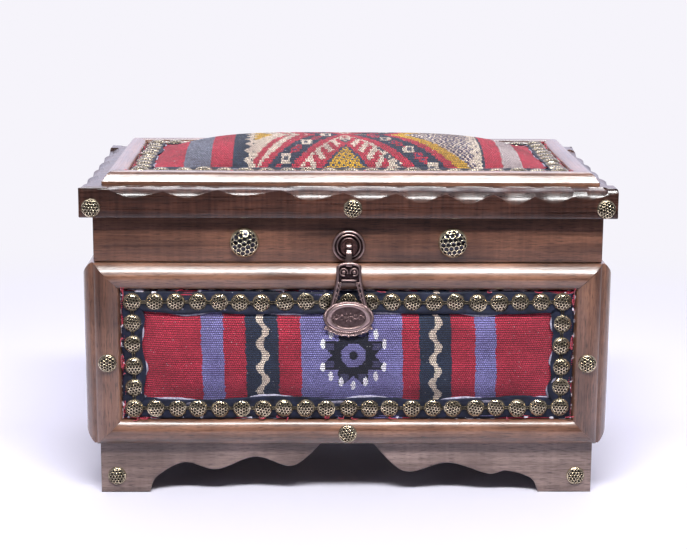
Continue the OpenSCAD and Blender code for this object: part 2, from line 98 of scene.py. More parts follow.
def lid_face():
    """The lid's top face, as wide and deep as its mitred frame."""
    low, high = corners("lid_moulding_front")
    depth = corners("lid_moulding_back")[1][1] - low[1]
    return Face(low, X, Y, Z, high[0] - low[0], depth, high[1] - low[1])


FRONT = case_face("front", lambda low, high: (low[0], high[1], low[2]), X, -Y)
RIGHT = case_face("right", lambda low, high: (low[0], low[1], low[2]), Y, X)
LEFT = case_face("left", lambda low, high: (high[0], high[1], low[2]), -Y, -X)
LID = lid_face()


# ---------------------------------------------------------------- sizes and colours a user may change
def length_property(name, description, default):
    """A length that a user may change, its default in mm."""
    return FloatProperty(name=name, description=description, default=default * MM, unit="LENGTH")


class ChestSizes(bpy.types.PropertyGroup):
    """The sizes that a user may change"""
    gouge_depth: length_property("Gouge depth", "Depth of the deepest gouge cut in the lid's edge", 9.8)
    gouge_reach: length_property("Gouge reach", "How far a gouge cut runs in over the lid's top", 8.6)
    arris: length_property("Arris", "Rounding of the boards' edges", 0.8)
    weave_row: length_property("Weave row", "Height of one rib of the kilim", 1.3)
    weave_bead: length_property("Weave bead", "Width of one bead of weft on a rib", 1.15)
    nail_head: length_property("Nail head", "Diameter of the stamped nail heads", 11.0)
    nail_pitch: length_property("Nail pitch", "Distance between two heads of a nail strip", 12.5)
    cells_across: FloatProperty(
        name="Cells across", description="Honeycomb cells across one nail head", default=6.0)


def colour_property(name, description, default):
    """A colour that a user may change, as sRGB hex text."""
    return StringProperty(name=name, description=description, default=default)


class ChestColours(bpy.types.PropertyGroup):
    """The colours that a user may change"""
    walnut_dark: colour_property("Walnut, dark", "Dark streaks of the case and lid boards", "#43281d")
    walnut_light: colour_property("Walnut, light", "Light streaks of the case and lid boards", "#875b46")
    slab_dark: colour_property("Lid slab, dark", "Dark streaks of the lid's slab", "#22120e")
    slab_light: colour_property("Lid slab, light", "Light streaks of the lid's slab", "#5f3b2e")
    frame_dark: colour_property("Moulding, dark", "Dark streaks of the mouldings", "#5a392b")
    frame_light: colour_property("Moulding, light", "Light streaks of the mouldings", "#9c7059")
    apron_dark: colour_property("Feet, dark", "Dark streaks of the feet", "#695650")
    apron_light: colour_property("Feet, light", "Light streaks of the feet", "#a58e88")
    red: colour_property("Red yarn", "Madder-red wool", "#d03a52")
    blue: colour_property("Blue yarn", "Violet-blue wool", "#9995d2")
    navy: colour_property("Navy yarn", "Charcoal-navy wool", "#344058")
    cream: colour_property("Cream yarn", "Undyed wool", "#f3e2cc")
    yellow: colour_property("Yellow yarn", "Weld-yellow wool", "#e6b53c")
    beige: colour_property("Beige yarn", "Grey-beige wool", "#d6c6c4")
    slate: colour_property("Slate yarn", "Grey-blue wool", "#868a9c")
    violet: colour_property("Violet yarn", "Dark violet wool", "#5b4a70")
    brass: colour_property("Antique brass", "Rubbed ridges of the brass", "#c9bba0")
    copper: colour_property("Antique copper", "Rubbed copper", "#b39a96")


# ---------------------------------------------------------------- materials
def linear(text):
    """sRGB hex text as a linear colour with alpha 1."""
    values = np.array([int(text[i:i + 2], 16) for i in (1, 3, 5)]) / 255
    low, high = values / 12.92, ((values + 0.055) / 1.055) ** 2.4
    return (*np.where(values <= 0.04045, low, high).tolist(), 1.0)


def add(tree, kind, inputs=None, stops=(), **settings):
    """A new node with its settings, its inputs set to a value or linked from a socket or from a node's
    first output, and a colour ramp's stops, each a (position, sRGB hex)."""
    node = tree.nodes.new("ShaderNode" + kind)
    for name, value in settings.items():
        setattr(node, name, value)
    for position, _ in stops[1:-1]:
        node.color_ramp.elements.new(position)
    for element, (position, colour) in zip(node.color_ramp.elements if stops else (), stops):
        element.position = position
        element.color = linear(colour)
    for name, value in (inputs or {}).items():
        if isinstance(value, bpy.types.Node):
            value = value.outputs[0]
        if isinstance(value, bpy.types.NodeSocket):
            tree.links.new(value, node.inputs[name])
        else:
            node.inputs[name].default_value = value
    return node


def empty_tree(owner):
    """The node tree of a material or a world, with nothing in it."""
    owner.use_nodes = True
    owner.node_tree.nodes.clear()
    return owner.node_tree


def finish_named(name, build, **settings):
    """A material whose Principled shader takes the inputs that build(tree) returns."""
    material = bpy.data.materials.new(name)
    tree = empty_tree(material)
    shader = add(tree, "BsdfPrincipled", {**settings, **build(tree)})
    add(tree, "OutputMaterial", {"Surface": shader})
    return material


def varnished_wood(name, grain, dark, light, roughness, coat, rippled):
    """Walnut, planed, stained and brushed with varnish: the long figure and streaks give warm and dark
    bands along the board, the pores short dark dashes, the planer faint ripples across it, and the
    varnish a clear gloss over them."""
    def build(tree):
        place = add(tree, "TexCoord").outputs["Object"]
        # across and along the grain, in mm: growth figure, streaks, pores and the planer's ripples
        layers = []
        for across, along, detail, bend in (
                (9, 130, 3, 0.9), (1.0, 55, 4, 0.3), (0.4, 6, 2, 0), (45, 2.4, 2, 0)):
            scale = [1 / (MM * (along if axis == grain else across)) for axis in range(3)]
            stretched = add(tree, "Mapping", {"Vector": place, "Scale": scale})
            layers.append(add(tree, "TexNoise", {
                "Vector": stretched, "Scale": 1.0, "Detail": detail, "Distortion": bend}))
        figure, streak, pore, ripple = layers
        bands = add(tree, "Math", {0: streak, 1: 0.55, 2: figure}, operation="MULTIPLY_ADD")
        bands = add(tree, "Math", {0: bands, 1: 1.55}, operation="DIVIDE")
        # soiling in patches of 42 mm
        soil = add(tree, "TexNoise", {"Vector": place, "Scale": 24.0, "Detail": 3.0})
        colour = add(tree, "ValToRGB", {"Fac": bands}, ((0.33, dark), (0.66, light)))
        for source, low, shade, high, amount in (
                (pore, 0.33, "#8a8382", 0.47, 0.8), (ripple, 0.38, "#b0a5a2", 0.6, rippled),
                (soil, 0.35, "#b4aba8", 0.6, 0.8)):
            shaded = add(tree, "ValToRGB", {"Fac": source}, ((low, shade), (high, "#ffffff")))
            colour = add(tree, "Mix", {0: amount, 6: colour, 7: shaded},
                         data_type="RGBA", blend_type="MULTIPLY").outputs[2]
        rough = add(tree, "MapRange", {
            "Value": streak, "From Min": 0.3, "From Max": 0.7,
            "To Min": roughness - 0.07, "To Max": roughness + 0.12})
        grain_bump = add(tree, "Bump", {"Height": bands, "Strength": 0.35, "Distance": 0.5 * MM})
        pore_bump = add(tree, "Bump", {
            "Height": pore, "Strength": 0.25, "Distance": 0.2 * MM, "Normal": grain_bump})
        # the varnish's own brush marks and sags, 7 mm apart
        brush = add(tree, "TexNoise", {"Vector": place, "Scale": 140.0, "Detail": 2.0})
        film = add(tree, "Bump", {
            "Height": brush, "Strength": 0.3, "Distance": 0.6 * MM, "Normal": grain_bump})
        return {"Base Color": colour, "Roughness": rough, "Normal": pore_bump, "Coat Normal": film}
    return finish_named(name, build, **{
        "IOR": 1.5, "Coat Weight": coat, "Coat Roughness": 0.24, "Coat IOR": 1.5})


def bare_wood(name, grain, dark, light):
    """Walnut and poplar as sawn, never varnished: matt and pale, with the saw's fuzz along the grain."""
    def build(tree):
        place = add(tree, "TexCoord").outputs["Object"]
        # streaks 70 mm long and 2.2 mm wide
        scale = [1 / (MM * (70 if axis == grain else 2.2)) for axis in range(3)]
        stretched = add(tree, "Mapping", {"Vector": place, "Scale": scale})
        streak = add(tree, "TexNoise", {
            "Vector": stretched, "Scale": 1.0, "Detail": 5.0, "Distortion": 0.5})
        colour = add(tree, "ValToRGB", {"Fac": streak}, ((0.32, dark), (0.66, light)))
        bump = add(tree, "Bump", {"Height": streak, "Strength": 0.5, "Distance": 0.4 * MM})
        return {"Base Color": colour, "Normal": bump}
    return finish_named(name, build, **{"Roughness": 0.72, "IOR": 1.5})


def kilim_wool(name, row, bead):
    """Wool, spun by hand and woven flat: ribs of small weft beads in the yarns' colours, matt and a little
    fuzzy. The ribs and beads are a little coarser than the wool's own, so that they show, and the grooves
    between them are darkened by painted shade. The "weave" UV map is in millimetres of cloth, and the "yarn"
    attribute holds the colours."""
    def build(tree):
        yarn = add(tree, "Attribute", attribute_name="yarn").outputs["Color"]
        cloth = add(tree, "UVMap", uv_map="weave")
        # rows wander over 3 mm, fibres are 0.6 mm and faded patches 20 mm
        wander = add(tree, "TexNoise", {"Vector": cloth, "Scale": 0.35, "Detail": 1.0})
        cloth = add(tree, "VectorMath", {
            0: wander.outputs["Color"], 1: (0.5, 0.3, 0), 2: cloth}, operation="MULTIPLY_ADD")
        up = add(tree, "SeparateXYZ", {0: cloth}).outputs["Y"]
        rib = add(tree, "Math", {0: up, 1: row / MM / 2}, operation="PINGPONG")
        beads = add(tree, "TexBrick", {
            "Vector": cloth, "Scale": 0.25, "Mortar Size": 0.055, "Mortar Smooth": 1.0,
            "Brick Width": 0.25 * bead / MM, "Row Height": 0.25 * row / MM}, offset=0.5).outputs["Fac"]
        fibre = add(tree, "TexNoise", {"Vector": cloth, "Scale": 1.6, "Detail": 4.0})
        fade = add(tree, "TexNoise", {"Vector": cloth, "Scale": 0.05, "Detail": 3.0})
        # painted shade darkens the grooves between ribs and between beads; the fibres and faded patches are
        # the wool's own tone
        for source, stops in (
                (rib, ((0.06, "#4a4556"), (0.36, "#ffffff"))),
                (beads, ((0.05, "#ffffff"), (0.85, "#55505f"))),
                (fibre, ((0.32, "#a8a2ac"), (0.62, "#ffffff"))),
                (fade, ((0.3, "#cfc8cc"), (0.62, "#ffffff")))):
            shade = add(tree, "ValToRGB", {"Fac": source}, stops)
            yarn = add(tree, "Mix", {0: 0.85, 6: yarn, 7: shade},
                       data_type="RGBA", blend_type="MULTIPLY").outputs[2]
        height = add(tree, "Math", {0: fibre, 1: beads}, operation="SUBTRACT")
        bump = add(tree, "Bump", {"Height": height, "Strength": 0.8, "Distance": 0.6 * MM})
        return {"Base Color": yarn, "Normal": bump}
    return finish_named(name, build, **{
        "Roughness": 0.88, "IOR": 1.5, "Specular IOR Level": 0.3,
        "Sheen Weight": 0.12, "Sheen Roughness": 0.5})


def clouded(name, dark, light, grain_mm, depth_mm, **settings):
    """A stuff whose colour drifts between two shades over grains of one size, with a bump to match."""
    def build(tree):
        place = add(tree, "TexCoord").outputs["Object"]
        grain = add(tree, "TexNoise", {
            "Vector": place, "Scale": 1 / (grain_mm * MM), "Detail": 4.0, "Roughness": 0.6})
        colour = add(tree, "ValToRGB", {"Fac": grain}, ((0.3, dark), (0.66, light)))
        bump = add(tree, "Bump", {"Height": grain, "Strength": 0.6, "Distance": depth_mm * MM})
        return {"Base Color": colour, "Normal": bump}
    return finish_named(name, build, **settings)


def stamped_brass(name, ridge, hollow, cells, pit, wall, polish):
    """Brass sheet, stamped in a honeycomb, antiqued and rubbed: pale bright ridges and rim round pits
    that keep their dark patina. The "head" UV map runs from -0.5 to 0.5 across a head."""
    def build(tree):
        head = add(tree, "UVMap", uv_map="head")
        half = (0.5, math.sqrt(3) / 2, 0.5)
        minus = tuple(-value for value in half)
        reach = []
        # two interleaved lattices of cells: the nearer centre gives the distance to the cell's middle
        for shift in ((0.0, 0.0, 0.0), (half[0], half[1], 0.0)):
            lattice = add(tree, "VectorMath", {
                0: head, 1: (cells, cells, 0.0), 2: shift}, operation="MULTIPLY_ADD")
            cell = add(tree, "VectorMath", {0: lattice, 1: half, 2: minus}, operation="WRAP")
            reach.append(add(tree, "VectorMath", {0: cell}, operation="LENGTH").outputs["Value"])
        middle = add(tree, "Math", {0: reach[0], 1: reach[1]}, operation="MINIMUM")
        web = add(tree, "MapRange", {
            "Value": middle, "From Min": pit, "From Max": pit + wall}, interpolation_type="SMOOTHSTEP")
        round_head = add(tree, "VectorMath", {0: head}, operation="LENGTH").outputs["Value"]
        rim = add(tree, "MapRange", {
            "Value": round_head, "From Min": 0.41, "From Max": 0.44}, interpolation_type="SMOOTHSTEP")
        edge = add(tree, "Math", {0: web, 1: rim}, operation="MAXIMUM")
        # tarnish in spots of 4 mm
        tarnish = add(tree, "TexNoise", {
            "Vector": add(tree, "TexCoord").outputs["Object"], "Scale": 240.0, "Detail": 3.0})
        worn = add(tree, "MapRange", {"Value": tarnish, "From Min": 0.3, "From Max": 0.6, "To Min": 0.55})
        rubbed = add(tree, "Math", {0: edge, 1: worn}, operation="MULTIPLY")
        colour = add(tree, "ValToRGB", {"Fac": rubbed}, ((0.0, hollow), (0.45, "#746a59"), (0.95, ridge)))
        rough = add(tree, "MapRange", {"Value": rubbed, "To Min": polish, "To Max": 0.22})
        bump = add(tree, "Bump", {"Height": edge, "Strength": 7.5 * wall, "Distance": 0.5 * MM})
        return {"Base Color": colour, "Roughness": rough, "Normal": bump}
    return finish_named(name, build, Metallic=0.9)


def rubbed_casting(name, dark, middle, bright):
    """Copper alloy, cast, patinated and rubbed on its high parts: dark hollows, bright ribs and beads.
    The "rub" UV map holds how much each place was rubbed."""
    def build(tree):
        rub = add(tree, "SeparateXYZ", {0: add(tree, "UVMap", uv_map="rub")})
        place = add(tree, "TexCoord").outputs["Object"]
        # the casting's grain, 2.4 mm and finer
        noise = add(tree, "TexNoise", {"Vector": place, "Scale": 420.0, "Detail": 4.0})
        amount = add(tree, "Math", {0: noise, 1: 0.5, 2: rub}, operation="MULTIPLY_ADD")
        colour = add(tree, "ValToRGB", {"Fac": amount}, ((0.25, dark), (0.75, middle), (1.0, bright)))
        rough = add(tree, "MapRange", {"Value": amount, "To Min": 0.6, "To Max": 0.34})
        bump = add(tree, "Bump", {"Height": noise, "Strength": 0.2, "Distance": 0.2 * MM})
        return {"Base Color": colour, "Roughness": rough, "Normal": bump}
    return finish_named(name, build, Metallic=1.0)


FINISH = {}                            # filled by make_finishes


def make_finishes():
    """Every finish of the chest, by a short name."""
    sizes, colours = bpy.context.scene.chest_sizes, bpy.context.scene.chest_colours
    # the grain's axes, the two shades, the roughness, the coat and the planer's ripples
    for name, material, axes, dark, light, *gloss in (
            ("case_", "varnished_walnut_", "xy", colours.walnut_dark, colours.walnut_light, 0.42, 0.4, 0.25),
            ("frame_", "varnished_moulding_", "xyz", colours.frame_dark, colours.frame_light, 0.34, 1.0, 0.1),
            ("apron_", "varnished_apron_", "xy", colours.apron_dark, colours.apron_light, 0.40, 0.4, 0.15)):
        for axis, letter in enumerate(axes):
            FINISH[name + letter] = varnished_wood(material + letter, axis, dark, light, *gloss)
    for axis, letter in enumerate("xyz"):
        FINISH["bare_" + letter] = bare_wood("sawn_walnut_" + letter, axis, "#3f2c22", "#6e5340")
    FINISH["slab_x"] = varnished_wood(
        "varnished_slab_walnut", 0, colours.slab_dark, colours.slab_light, 0.30, 0.6, 0.7)
    FINISH["kilim"] = kilim_wool("flat_woven_wool", sizes.weave_row, sizes.weave_bead)
    # the ridge's and the hollow's shade, the cells, the pit and its wall, and the hollow's roughness
    FINISH["nail"] = stamped_brass(
        "honeycomb_antique_brass", colours.brass, "#231f1c", sizes.cells_across, 0.30, 0.12, 0.32)
    FINISH["dome"] = stamped_brass(
        "deep_honeycomb_antique_brass", "#f0e4c6", "#37363d", sizes.cells_across, 0.37, 0.08, 0.14)
    FINISH["copper"] = rubbed_casting("rubbed_antique_copper", "#221a1c", "#7a6463", colours.copper)
    # the pendant's copper is darker than the rosette's and the medallion's
    FINISH["copper_dark"] = rubbed_casting("darker_antique_copper", "#1b1517", "#5c4a4a", "#96807c")
    # the two shades, the grain's size and depth in mm, and the shader's own settings
    for name, material, dark, light, grain, depth, settings in (
            # cotton teased open by carding: white, matt and uneven
            ("batting", "carded_cotton_batting", "#b9b4c8", "#f1eef6", 2.2, 1.0,
             {"Roughness": 0.95, "Sheen Weight": 0.4}),
            # cotton woven plain and neither dyed nor bleached: a greyish line
            ("lining", "undyed_cotton_lining", "#6f6c80", "#b9b5c8", 1.2, 0.3, {"Roughness": 0.9}),
            # cotton tape dyed navy: nearly black, with a faint gloss from its tight weave
            ("tape", "dyed_navy_tape", "#0d0f18", "#20253a", 6.0, 0.5,
             {"Roughness": 0.62, "Specular IOR Level": 0.25}),
            # wool spun of a few fibres: the kilim's red, fuzzy
            ("thread", "spun_red_thread", "#8a1f33", "#c2354e", 0.6, 0.2,
             {"Roughness": 0.85, "Sheen Weight": 0.3}),
            # brass rolled thin and darkened: a dull glint between the heads
            ("link", "antique_brass_sheet", "#231f1c", "#5f5648", 1.2, 0.1,
             {"Metallic": 0.9, "Roughness": 0.42}),
            # copper alloy turned and patinated: smooth, dark and dull
            ("copper_plain", "antique_copper_turned", "#2c2024", "#6a4e4a", 1.0, 0.08,
             {"Metallic": 1.0, "Roughness": 0.6}),
            # steel pressed and brass-plated, the plating dulled: an even yellowish gloss
            ("steel", "brassed_steel_hinge", "#5f553e", "#a39468", 1.5, 0.08,
             {"Metallic": 1.0, "Roughness": 0.4})):
        FINISH[name] = clouded(material, dark, light, grain, depth, **settings)


# ---------------------------------------------------------------- mesh code
class Shell:
    """Grids of points gathered into one mesh, with a UV for each point and a colour for each quad."""

    def __init__(self):
        self.points, self.quads, self.uvs, self.colours, self.count = [], [], [], [], 0

    def add(self, points, wrap_rows=False, wrap_columns=False, uv=(1.0, 0.0), colours=(1.0, 1.0, 1.0)):
        """Adds a grid: each quad joins (r, c), (r, c+1), (r+1, c+1) and (r+1, c)."""
        rows, columns = points.shape[:2]
        r, c = np.meshgrid(np.arange(rows if wrap_rows else rows - 1),
                           np.arange(columns if wrap_columns else columns - 1), indexing="ij")
        r2, c2 = (r + 1) % rows, (c + 1) % columns
        quads = np.stack([r * columns + c, r * columns + c2, r2 * columns + c2, r2 * columns + c], -1)
        self.add_quads(points.reshape(-1, 3), quads.reshape(-1, 4),
                       np.broadcast_to(uv, (rows, columns, 2)).reshape(-1, 2),
                       np.broadcast_to(colours, (*r.shape, 3)).reshape(-1, 3))
        return self

    def add_quads(self, points, quads, uv, colours):
        """Adds quads over points that are given as lists."""
        self.points.append(points)
        self.quads.append(quads + self.count)
        self.uvs.append(uv)
        self.colours.append(colours)
        self.count += len(points)


def make_piece(name, shell, body, finish, replaces=(), uv_name=None, yarn=False, sharp=None):
    """Puts a shell's arrays into a mesh object, closes its seams and hangs it on its body. Edges
    sharper than the given angle stay crisp."""
    mesh = bpy.data.meshes.new(name)
    points, quads = np.concatenate(shell.points), np.concatenate(shell.quads)
    mesh.vertices.add(len(points))
    mesh.vertices.foreach_set("co", points.astype(np.float32).ravel())
    mesh.loops.add(quads.size)
    mesh.loops.foreach_set("vertex_index", quads.ravel().astype(np.int32))
    mesh.polygons.add(len(quads))
    mesh.polygons.foreach_set("loop_start", np.arange(0, quads.size, 4, dtype=np.int32))
    mesh.update(calc_edges=True)
    if uv_name:
        uv = np.concatenate(shell.uvs)[quads.ravel()].astype(np.float32)
        mesh.uv_layers.new(name=uv_name).data.foreach_set("uv", uv.ravel())
    if yarn:
        colour = np.repeat(np.concatenate(shell.colours), 4, axis=0)
        colour = np.hstack([colour, np.ones((len(colour), 1))]).astype(np.float32)
        mesh.color_attributes.new("yarn", "FLOAT_COLOR", "CORNER").data.foreach_set("color", colour.ravel())
    work = bmesh.new()
    work.from_mesh(mesh)
    bmesh.ops.remove_doubles(work, verts=work.verts, dist=WELD)
    bmesh.ops.dissolve_degenerate(work, edges=work.edges, dist=0.1 * WELD)
    bmesh.ops.recalc_face_normals(work, faces=work.faces)
    work.to_mesh(mesh)
    work.free()
    mesh.polygons.foreach_set("use_smooth", np.ones(len(mesh.polygons), bool))
    if sharp:
        mesh.set_sharp_from_angle(angle=math.radians(sharp))
    mesh.validate()
    mesh.materials.append(FINISH[finish])
    piece = bpy.data.objects.new(name, mesh)
    bpy.context.scene.collection.objects.link(piece)
    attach(piece, body)
    if replaces:
        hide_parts(*replaces)
    return piece


def make_board(name, points, body, finish, node, sharp=50):
    """A wooden piece in a CAD node's place: one closed grid of points, with crisp arrises."""
    make_piece(name, Shell().add(points, wrap_columns=True), body, finish, (node,), sharp=sharp)


def dress_node(node, finish):
    """Gives a CAD node that is shown as it is its finish."""
    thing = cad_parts[node]
    thing.data.materials.clear()
    thing.data.materials.append(FINISH[finish])


def capped(rings):
    """Closes a stack of rings at both ends with the ends' own middles."""
    first = np.broadcast_to(rings[:1].mean(1, keepdims=True), rings[:1].shape)
    last = np.broadcast_to(rings[-1:].mean(1, keepdims=True), rings[-1:].shape)
    return np.concatenate([first, rings, last])


def sway(place, amount, seed):
    """Hand-made unevenness along a piece: four slow sines of falling size, their phases from a seed."""
    waves, slowest = 4, 19.5
    phase = np.random.default_rng(seed).uniform(0, 2 * np.pi, waves)
    return amount * sum(np.sin(slowest * (k + 1) * place + phase[k]) / (k + 1) for k in range(waves))


def rectangle_ring(width, height, inset, steps):
    """Points round a rectangle in equal shares of each side, moved straight in by the inset, and at a
    corner held on its mitre. The inset is one number or one for each point."""
    share = np.tile(np.arange(steps) / steps, 4)
    side = np.repeat(np.arange(4), steps)
    inset = np.broadcast_to(inset, side.shape)
    across = np.clip(share * width, inset, width - inset)
    up = np.clip(share * height, inset, height - inset)
    x = np.choose(side, [across, width - inset, width - across, inset])
    y = np.choose(side, [inset, up, height - inset, height - up])
    return x, y


def rounded_board(node, radius, axis, seed):
    """A board in a CAD node's place: a rectangle with quarter-round corners, carried along its length.
    Towards each end the rectangle shrinks along a quarter circle, so that the ends are round too."""
    order = [axis] + [other for other in range(3) if other != axis]
    low, high = (corner[order] for corner in corners(node))
    quarter = np.linspace(0, np.pi / 2, 4)
    length, wander = high[0] - low[0], 0.04 * MM
    bend = radius * (1 - np.sin(quarter))
    end = radius * (1 - np.cos(quarter))
    flat = np.linspace(radius * 1.2, length - radius * 1.2, 30)
    place = np.concatenate([end, flat, length - end[::-1]])
    inset = np.concatenate([bend, flat * 0, bend[::-1]])[:, None, None]
    half, middle = (high[1:] - low[1:]) / 2, (high[1:] + low[1:]) / 2
    turn = np.concatenate([quarter + k * np.pi / 2 for k in range(4)])
    signs = np.stack([np.repeat([1, -1, -1, 1], 4), np.repeat([1, 1, -1, -1], 4)], -1)
    section = signs * (half - radius) + radius * np.stack([np.cos(turn), np.sin(turn)], -1)
    points = np.zeros((len(place), len(section), 3))
    points[..., 0] = (low[0] + place)[:, None]
    points[..., 1:] = middle + section + signs * (sway(place, wander, seed)[:, None, None] - inset)
    return capped(points)[..., np.argsort(order)]


def tube(path, radius, sides):
    """A round tube along a path: circles across the path's own direction."""
    ahead = np.gradient(path, axis=0)
    ahead = ahead / np.linalg.norm(ahead, axis=1, keepdims=True)
    side = np.cross(ahead, np.where(np.abs(ahead @ Y)[:, None] > 0.9, X, Y))
    side = side / np.linalg.norm(side, axis=1, keepdims=True)
    up = np.cross(side, ahead)
    turn = np.linspace(0, 2 * np.pi, sides, endpoint=False)[None, :, None]
    radius = np.broadcast_to(radius, len(path))[:, None, None]
    return capped(path[:, None] + radius * (np.cos(turn) * side[:, None] + np.sin(turn) * up[:, None]))


# ---------------------------------------------------------------- mitred mouldings
# How far the moulding's face leans back, in degrees, at shares of its width from its outer edge.
CASE_LEAN = ((0, 80), (0.025, 68), (0.05, 42), (0.09, 34), (0.24, 29), (0.31, 22), (0.42, 14), (0.52, 4),
             (0.60, -8), (0.80, -20), (0.91, -38), (0.97, -64), (1, -80))
LID_LEAN = ((0, 84), (0.022, 75), (0.034, 66), (0.05, 60), (0.22, 57), (0.26, 42), (0.36, 20),
            (0.52, 3), (0.70, -8), (0.86, -22), (0.95, -55), (1, -80))


def moulding_section(width, thick, lean):
    """Across a rail: places x, and heights that are the running sum of tan(lean) dx, scaled so that the
    crest is the rail's thickness, and closed along the bottom."""
    steps, outer_edge = 300, 0.25 * thick
    share = np.linspace(0, 1, steps + 1)
    slope = np.tan(np.radians(np.interp(share, *np.array(lean).T)))
    rise = np.concatenate([[0], np.cumsum((slope[1:] + slope[:-1]) / 2) / steps]) * width
    rise = np.clip(rise * thick / rise.max(), outer_edge * (share < 1), thick)
    arc = np.cumsum(np.hypot(np.diff(share, prepend=0) * width, np.diff(rise, prepend=0)))
    even = np.linspace(0, arc[-1], 36)
    x, z = np.interp(even, arc, share * width), np.interp(even, arc, rise)
    underside = np.linspace(width, 0, 5)
    return np.concatenate([x, underside]), np.concatenate([z, 0 * underside])


def mitred_rail(face, side, thick, lean, seed):
    """One side of a mitred frame: the moulding's section carried along the side, a little unevenly,
    with its ends cut at 45 degrees."""
    width = face.rail
    across, rise = moulding_section(width, thick, lean)
    length = face.width if side in ("bottom", "top") else face.height
    mitre_gap, wander = 0.08 * MM, 0.10 * MM
    # the crest is uneven by a share of its height, and as much lower, to stay within the CAD's rail
    uneven, lower = 0.012, 0.02
    share = np.linspace(0, 1, 70)[:, None]
    s = across + mitre_gap + share * (length - 2 * (across + mitre_gap))
    t = across + sway(s, wander, seed) * (rise > 0) * np.sin(np.pi * across / width)
    z = rise * (1 + sway(s, uneven, seed + 50) - lower)
    x, y = {"bottom": (s, t), "top": (face.width - s, face.height - t),
            "right": (face.width - t, s), "left": (t, face.height - s)}[side]
    return capped(face.place(x, y, z))


def make_frame(prefix, face, body, nodes, along, up, lean, seed):
    """The four rails of a frame, each a piece of its own with its grain along it."""
    for k, (side, node) in enumerate(zip(("bottom", "top", "left", "right"), nodes)):
        thick = face.levels(node)[1]
        grain = along if side in ("bottom", "top") else up
        make_board(f"{prefix}_{side}_rail", mitred_rail(face, side, thick, lean, seed + k), body,
                   "frame_" + grain, node)


# ---------------------------------------------------------------- gouged lid slab
# Along the front and a side, from the left: a place and the depth of the cuts there, in mm, at each
# cusp between two cuts and at each cut's tip. The deepest tip has the gouge depth.
FRONT_CUTS = ((0, 0.2), (16.7, 1.1), (30.1, 6.1), (48.4, 2.1), (61.5, 6.1), (79.6, 1.0), (92.1, 4.9),
              (116.2, 1.2), (131.1, 7.6), (151.8, 2.6), (165.1, 7.4), (181.7, 3.0), (195.8, 8.4),
              (210.5, 3.2), (223.2, 9.1), (237.9, 3.3), (250.1, 9.8), (261.8, 4.4), (272.2, 9.0),
              (283.9, 4.6), (292.6, 6.8), (303.2, 3.8), (310, 2.4))
SIDE_CUTS = ((0, 2.4), (14, 2.8), (30, 7.4), (44, 2.6), (58, 6.8), (74, 3.0), (90, 8.0), (103, 2.8),
             (116, 7.0), (133, 2.6), (150, 7.6), (165, 2.4), (180, 0.4))
DEEPEST = 9.8                          # the deepest tip of these, in mm
FULL_BITE = 3                          # a tip this much deeper than its cusp, in mm, has its whole reach
# How far a cut's surface leans back, in degrees, at shares of its height from its lower lip.
CUT_LEAN = ((0, 16), (0.22, 24), (0.32, 33), (0.42, 40), (0.5, 48), (0.76, 52), (0.83, 72), (1, 75))


def cut_depths(cuts, steps, fine, roll):
    """Along an edge: the depth of each place's cut at its tip, as a share of the deepest; how much of
    the roll the hollow takes there, which grows as w squared, with w running from the tip to the cusp,
    to what brings the lip up to the cusp's depth; and how much of the reach the cut has."""
    where, depth = np.array(cuts).T
    share = np.arange(steps) / steps
    k = np.searchsorted(where / where[-1], share, side="right") - 1
    t = (share * where[-1] - where[k]) / (where[k + 1] - where[k])
    w = np.where(depth[k] > depth[k + 1], t, 1 - t)
    tip, cusp = np.maximum(depth[k], depth[k + 1]), np.minimum(depth[k], depth[k + 1])
    shallow = 0.3                      # the reach that the shallowest cut still has
    bite = np.clip((tip - cusp) / FULL_BITE, 0, 1) * (shallow + (1 - shallow) * tip / DEEPEST)
    return np.stack([tip / DEEPEST, np.interp(1 - cusp / tip, fine, roll) * w ** 2, bite])


def gouged_slab(low, high, deep, reach, arris, steps=300):
    """The slab as rings round it, each the slab's outline moved in by its inset. Up the edge the rings
    climb to the lower lip of the cuts and roll over to the top face. A cut is a roll less a hollow: at
    a height h its inset is reach (F(h) - hollow), with F the running sum of tan(lean), so its lip, where
    the inset is 0, is a V or leaves an arch of wood. A small step up closes each cut. Rings on the
    under and top faces keep their quads even."""
    width, depth, height = high - low
    fine = np.linspace(0, 1, 101)
    roll = np.cumsum(np.tan(np.radians(np.interp(fine, *np.array(CUT_LEAN).T))))
    roll = (roll - roll[0]) / (roll[-1] - roll[0])
    front, side = (cut_depths(cuts, steps, fine, roll) for cuts in (FRONT_CUTS, SIDE_CUTS))
    tip, hollow, bite = np.concatenate([front, side, front, side], axis=1)
    along = np.arange(4 * steps) / steps
    lowest = np.interp(hollow, roll, fine)
    step, clear = 0.5 * MM * bite, 0.05 * MM
    drop = deep * tip * (1 - lowest)
    lip = height - drop
    rings = []

    def ring(inset, z):
        x, y = rectangle_ring(width, depth, inset, steps)
        rings.append(np.stack([low[0] + x, low[1] + y, low[2] + np.broadcast_to(z, x.shape)], -1))

    # the under face and its arris, and the edge up to the cuts' lips
    for inset in (depth / 2 - MM, 20 * MM, 6 * MM):
        ring(inset, 0)
    for a in np.linspace(0, np.pi / 2, 4):
        ring(arris * (1 - np.sin(a)), arris * (1 - np.cos(a)))
    for f in (0.3, 0.6, 0.85, 1.0):
        ring(clear + sway(along * 0.3, 0.04 * MM, 11), arris + (lip - arris) * f)
    # the cuts, with the small step that closes them, and the top face
    for f in np.linspace(0, 1, 17)[1:]:
        inset = reach * bite * (np.interp(lowest + (1 - lowest) * f, fine, roll) - hollow)
        ring(clear + 0.3 * MM * f + inset, lip + (drop - step) * f)
    ring(0.6 * MM + reach * bite * (1 - hollow), height)
    for inset in (10 * MM, 20 * MM, depth / 2 - MM):
        ring(inset, height)
    return capped(np.stack(rings))


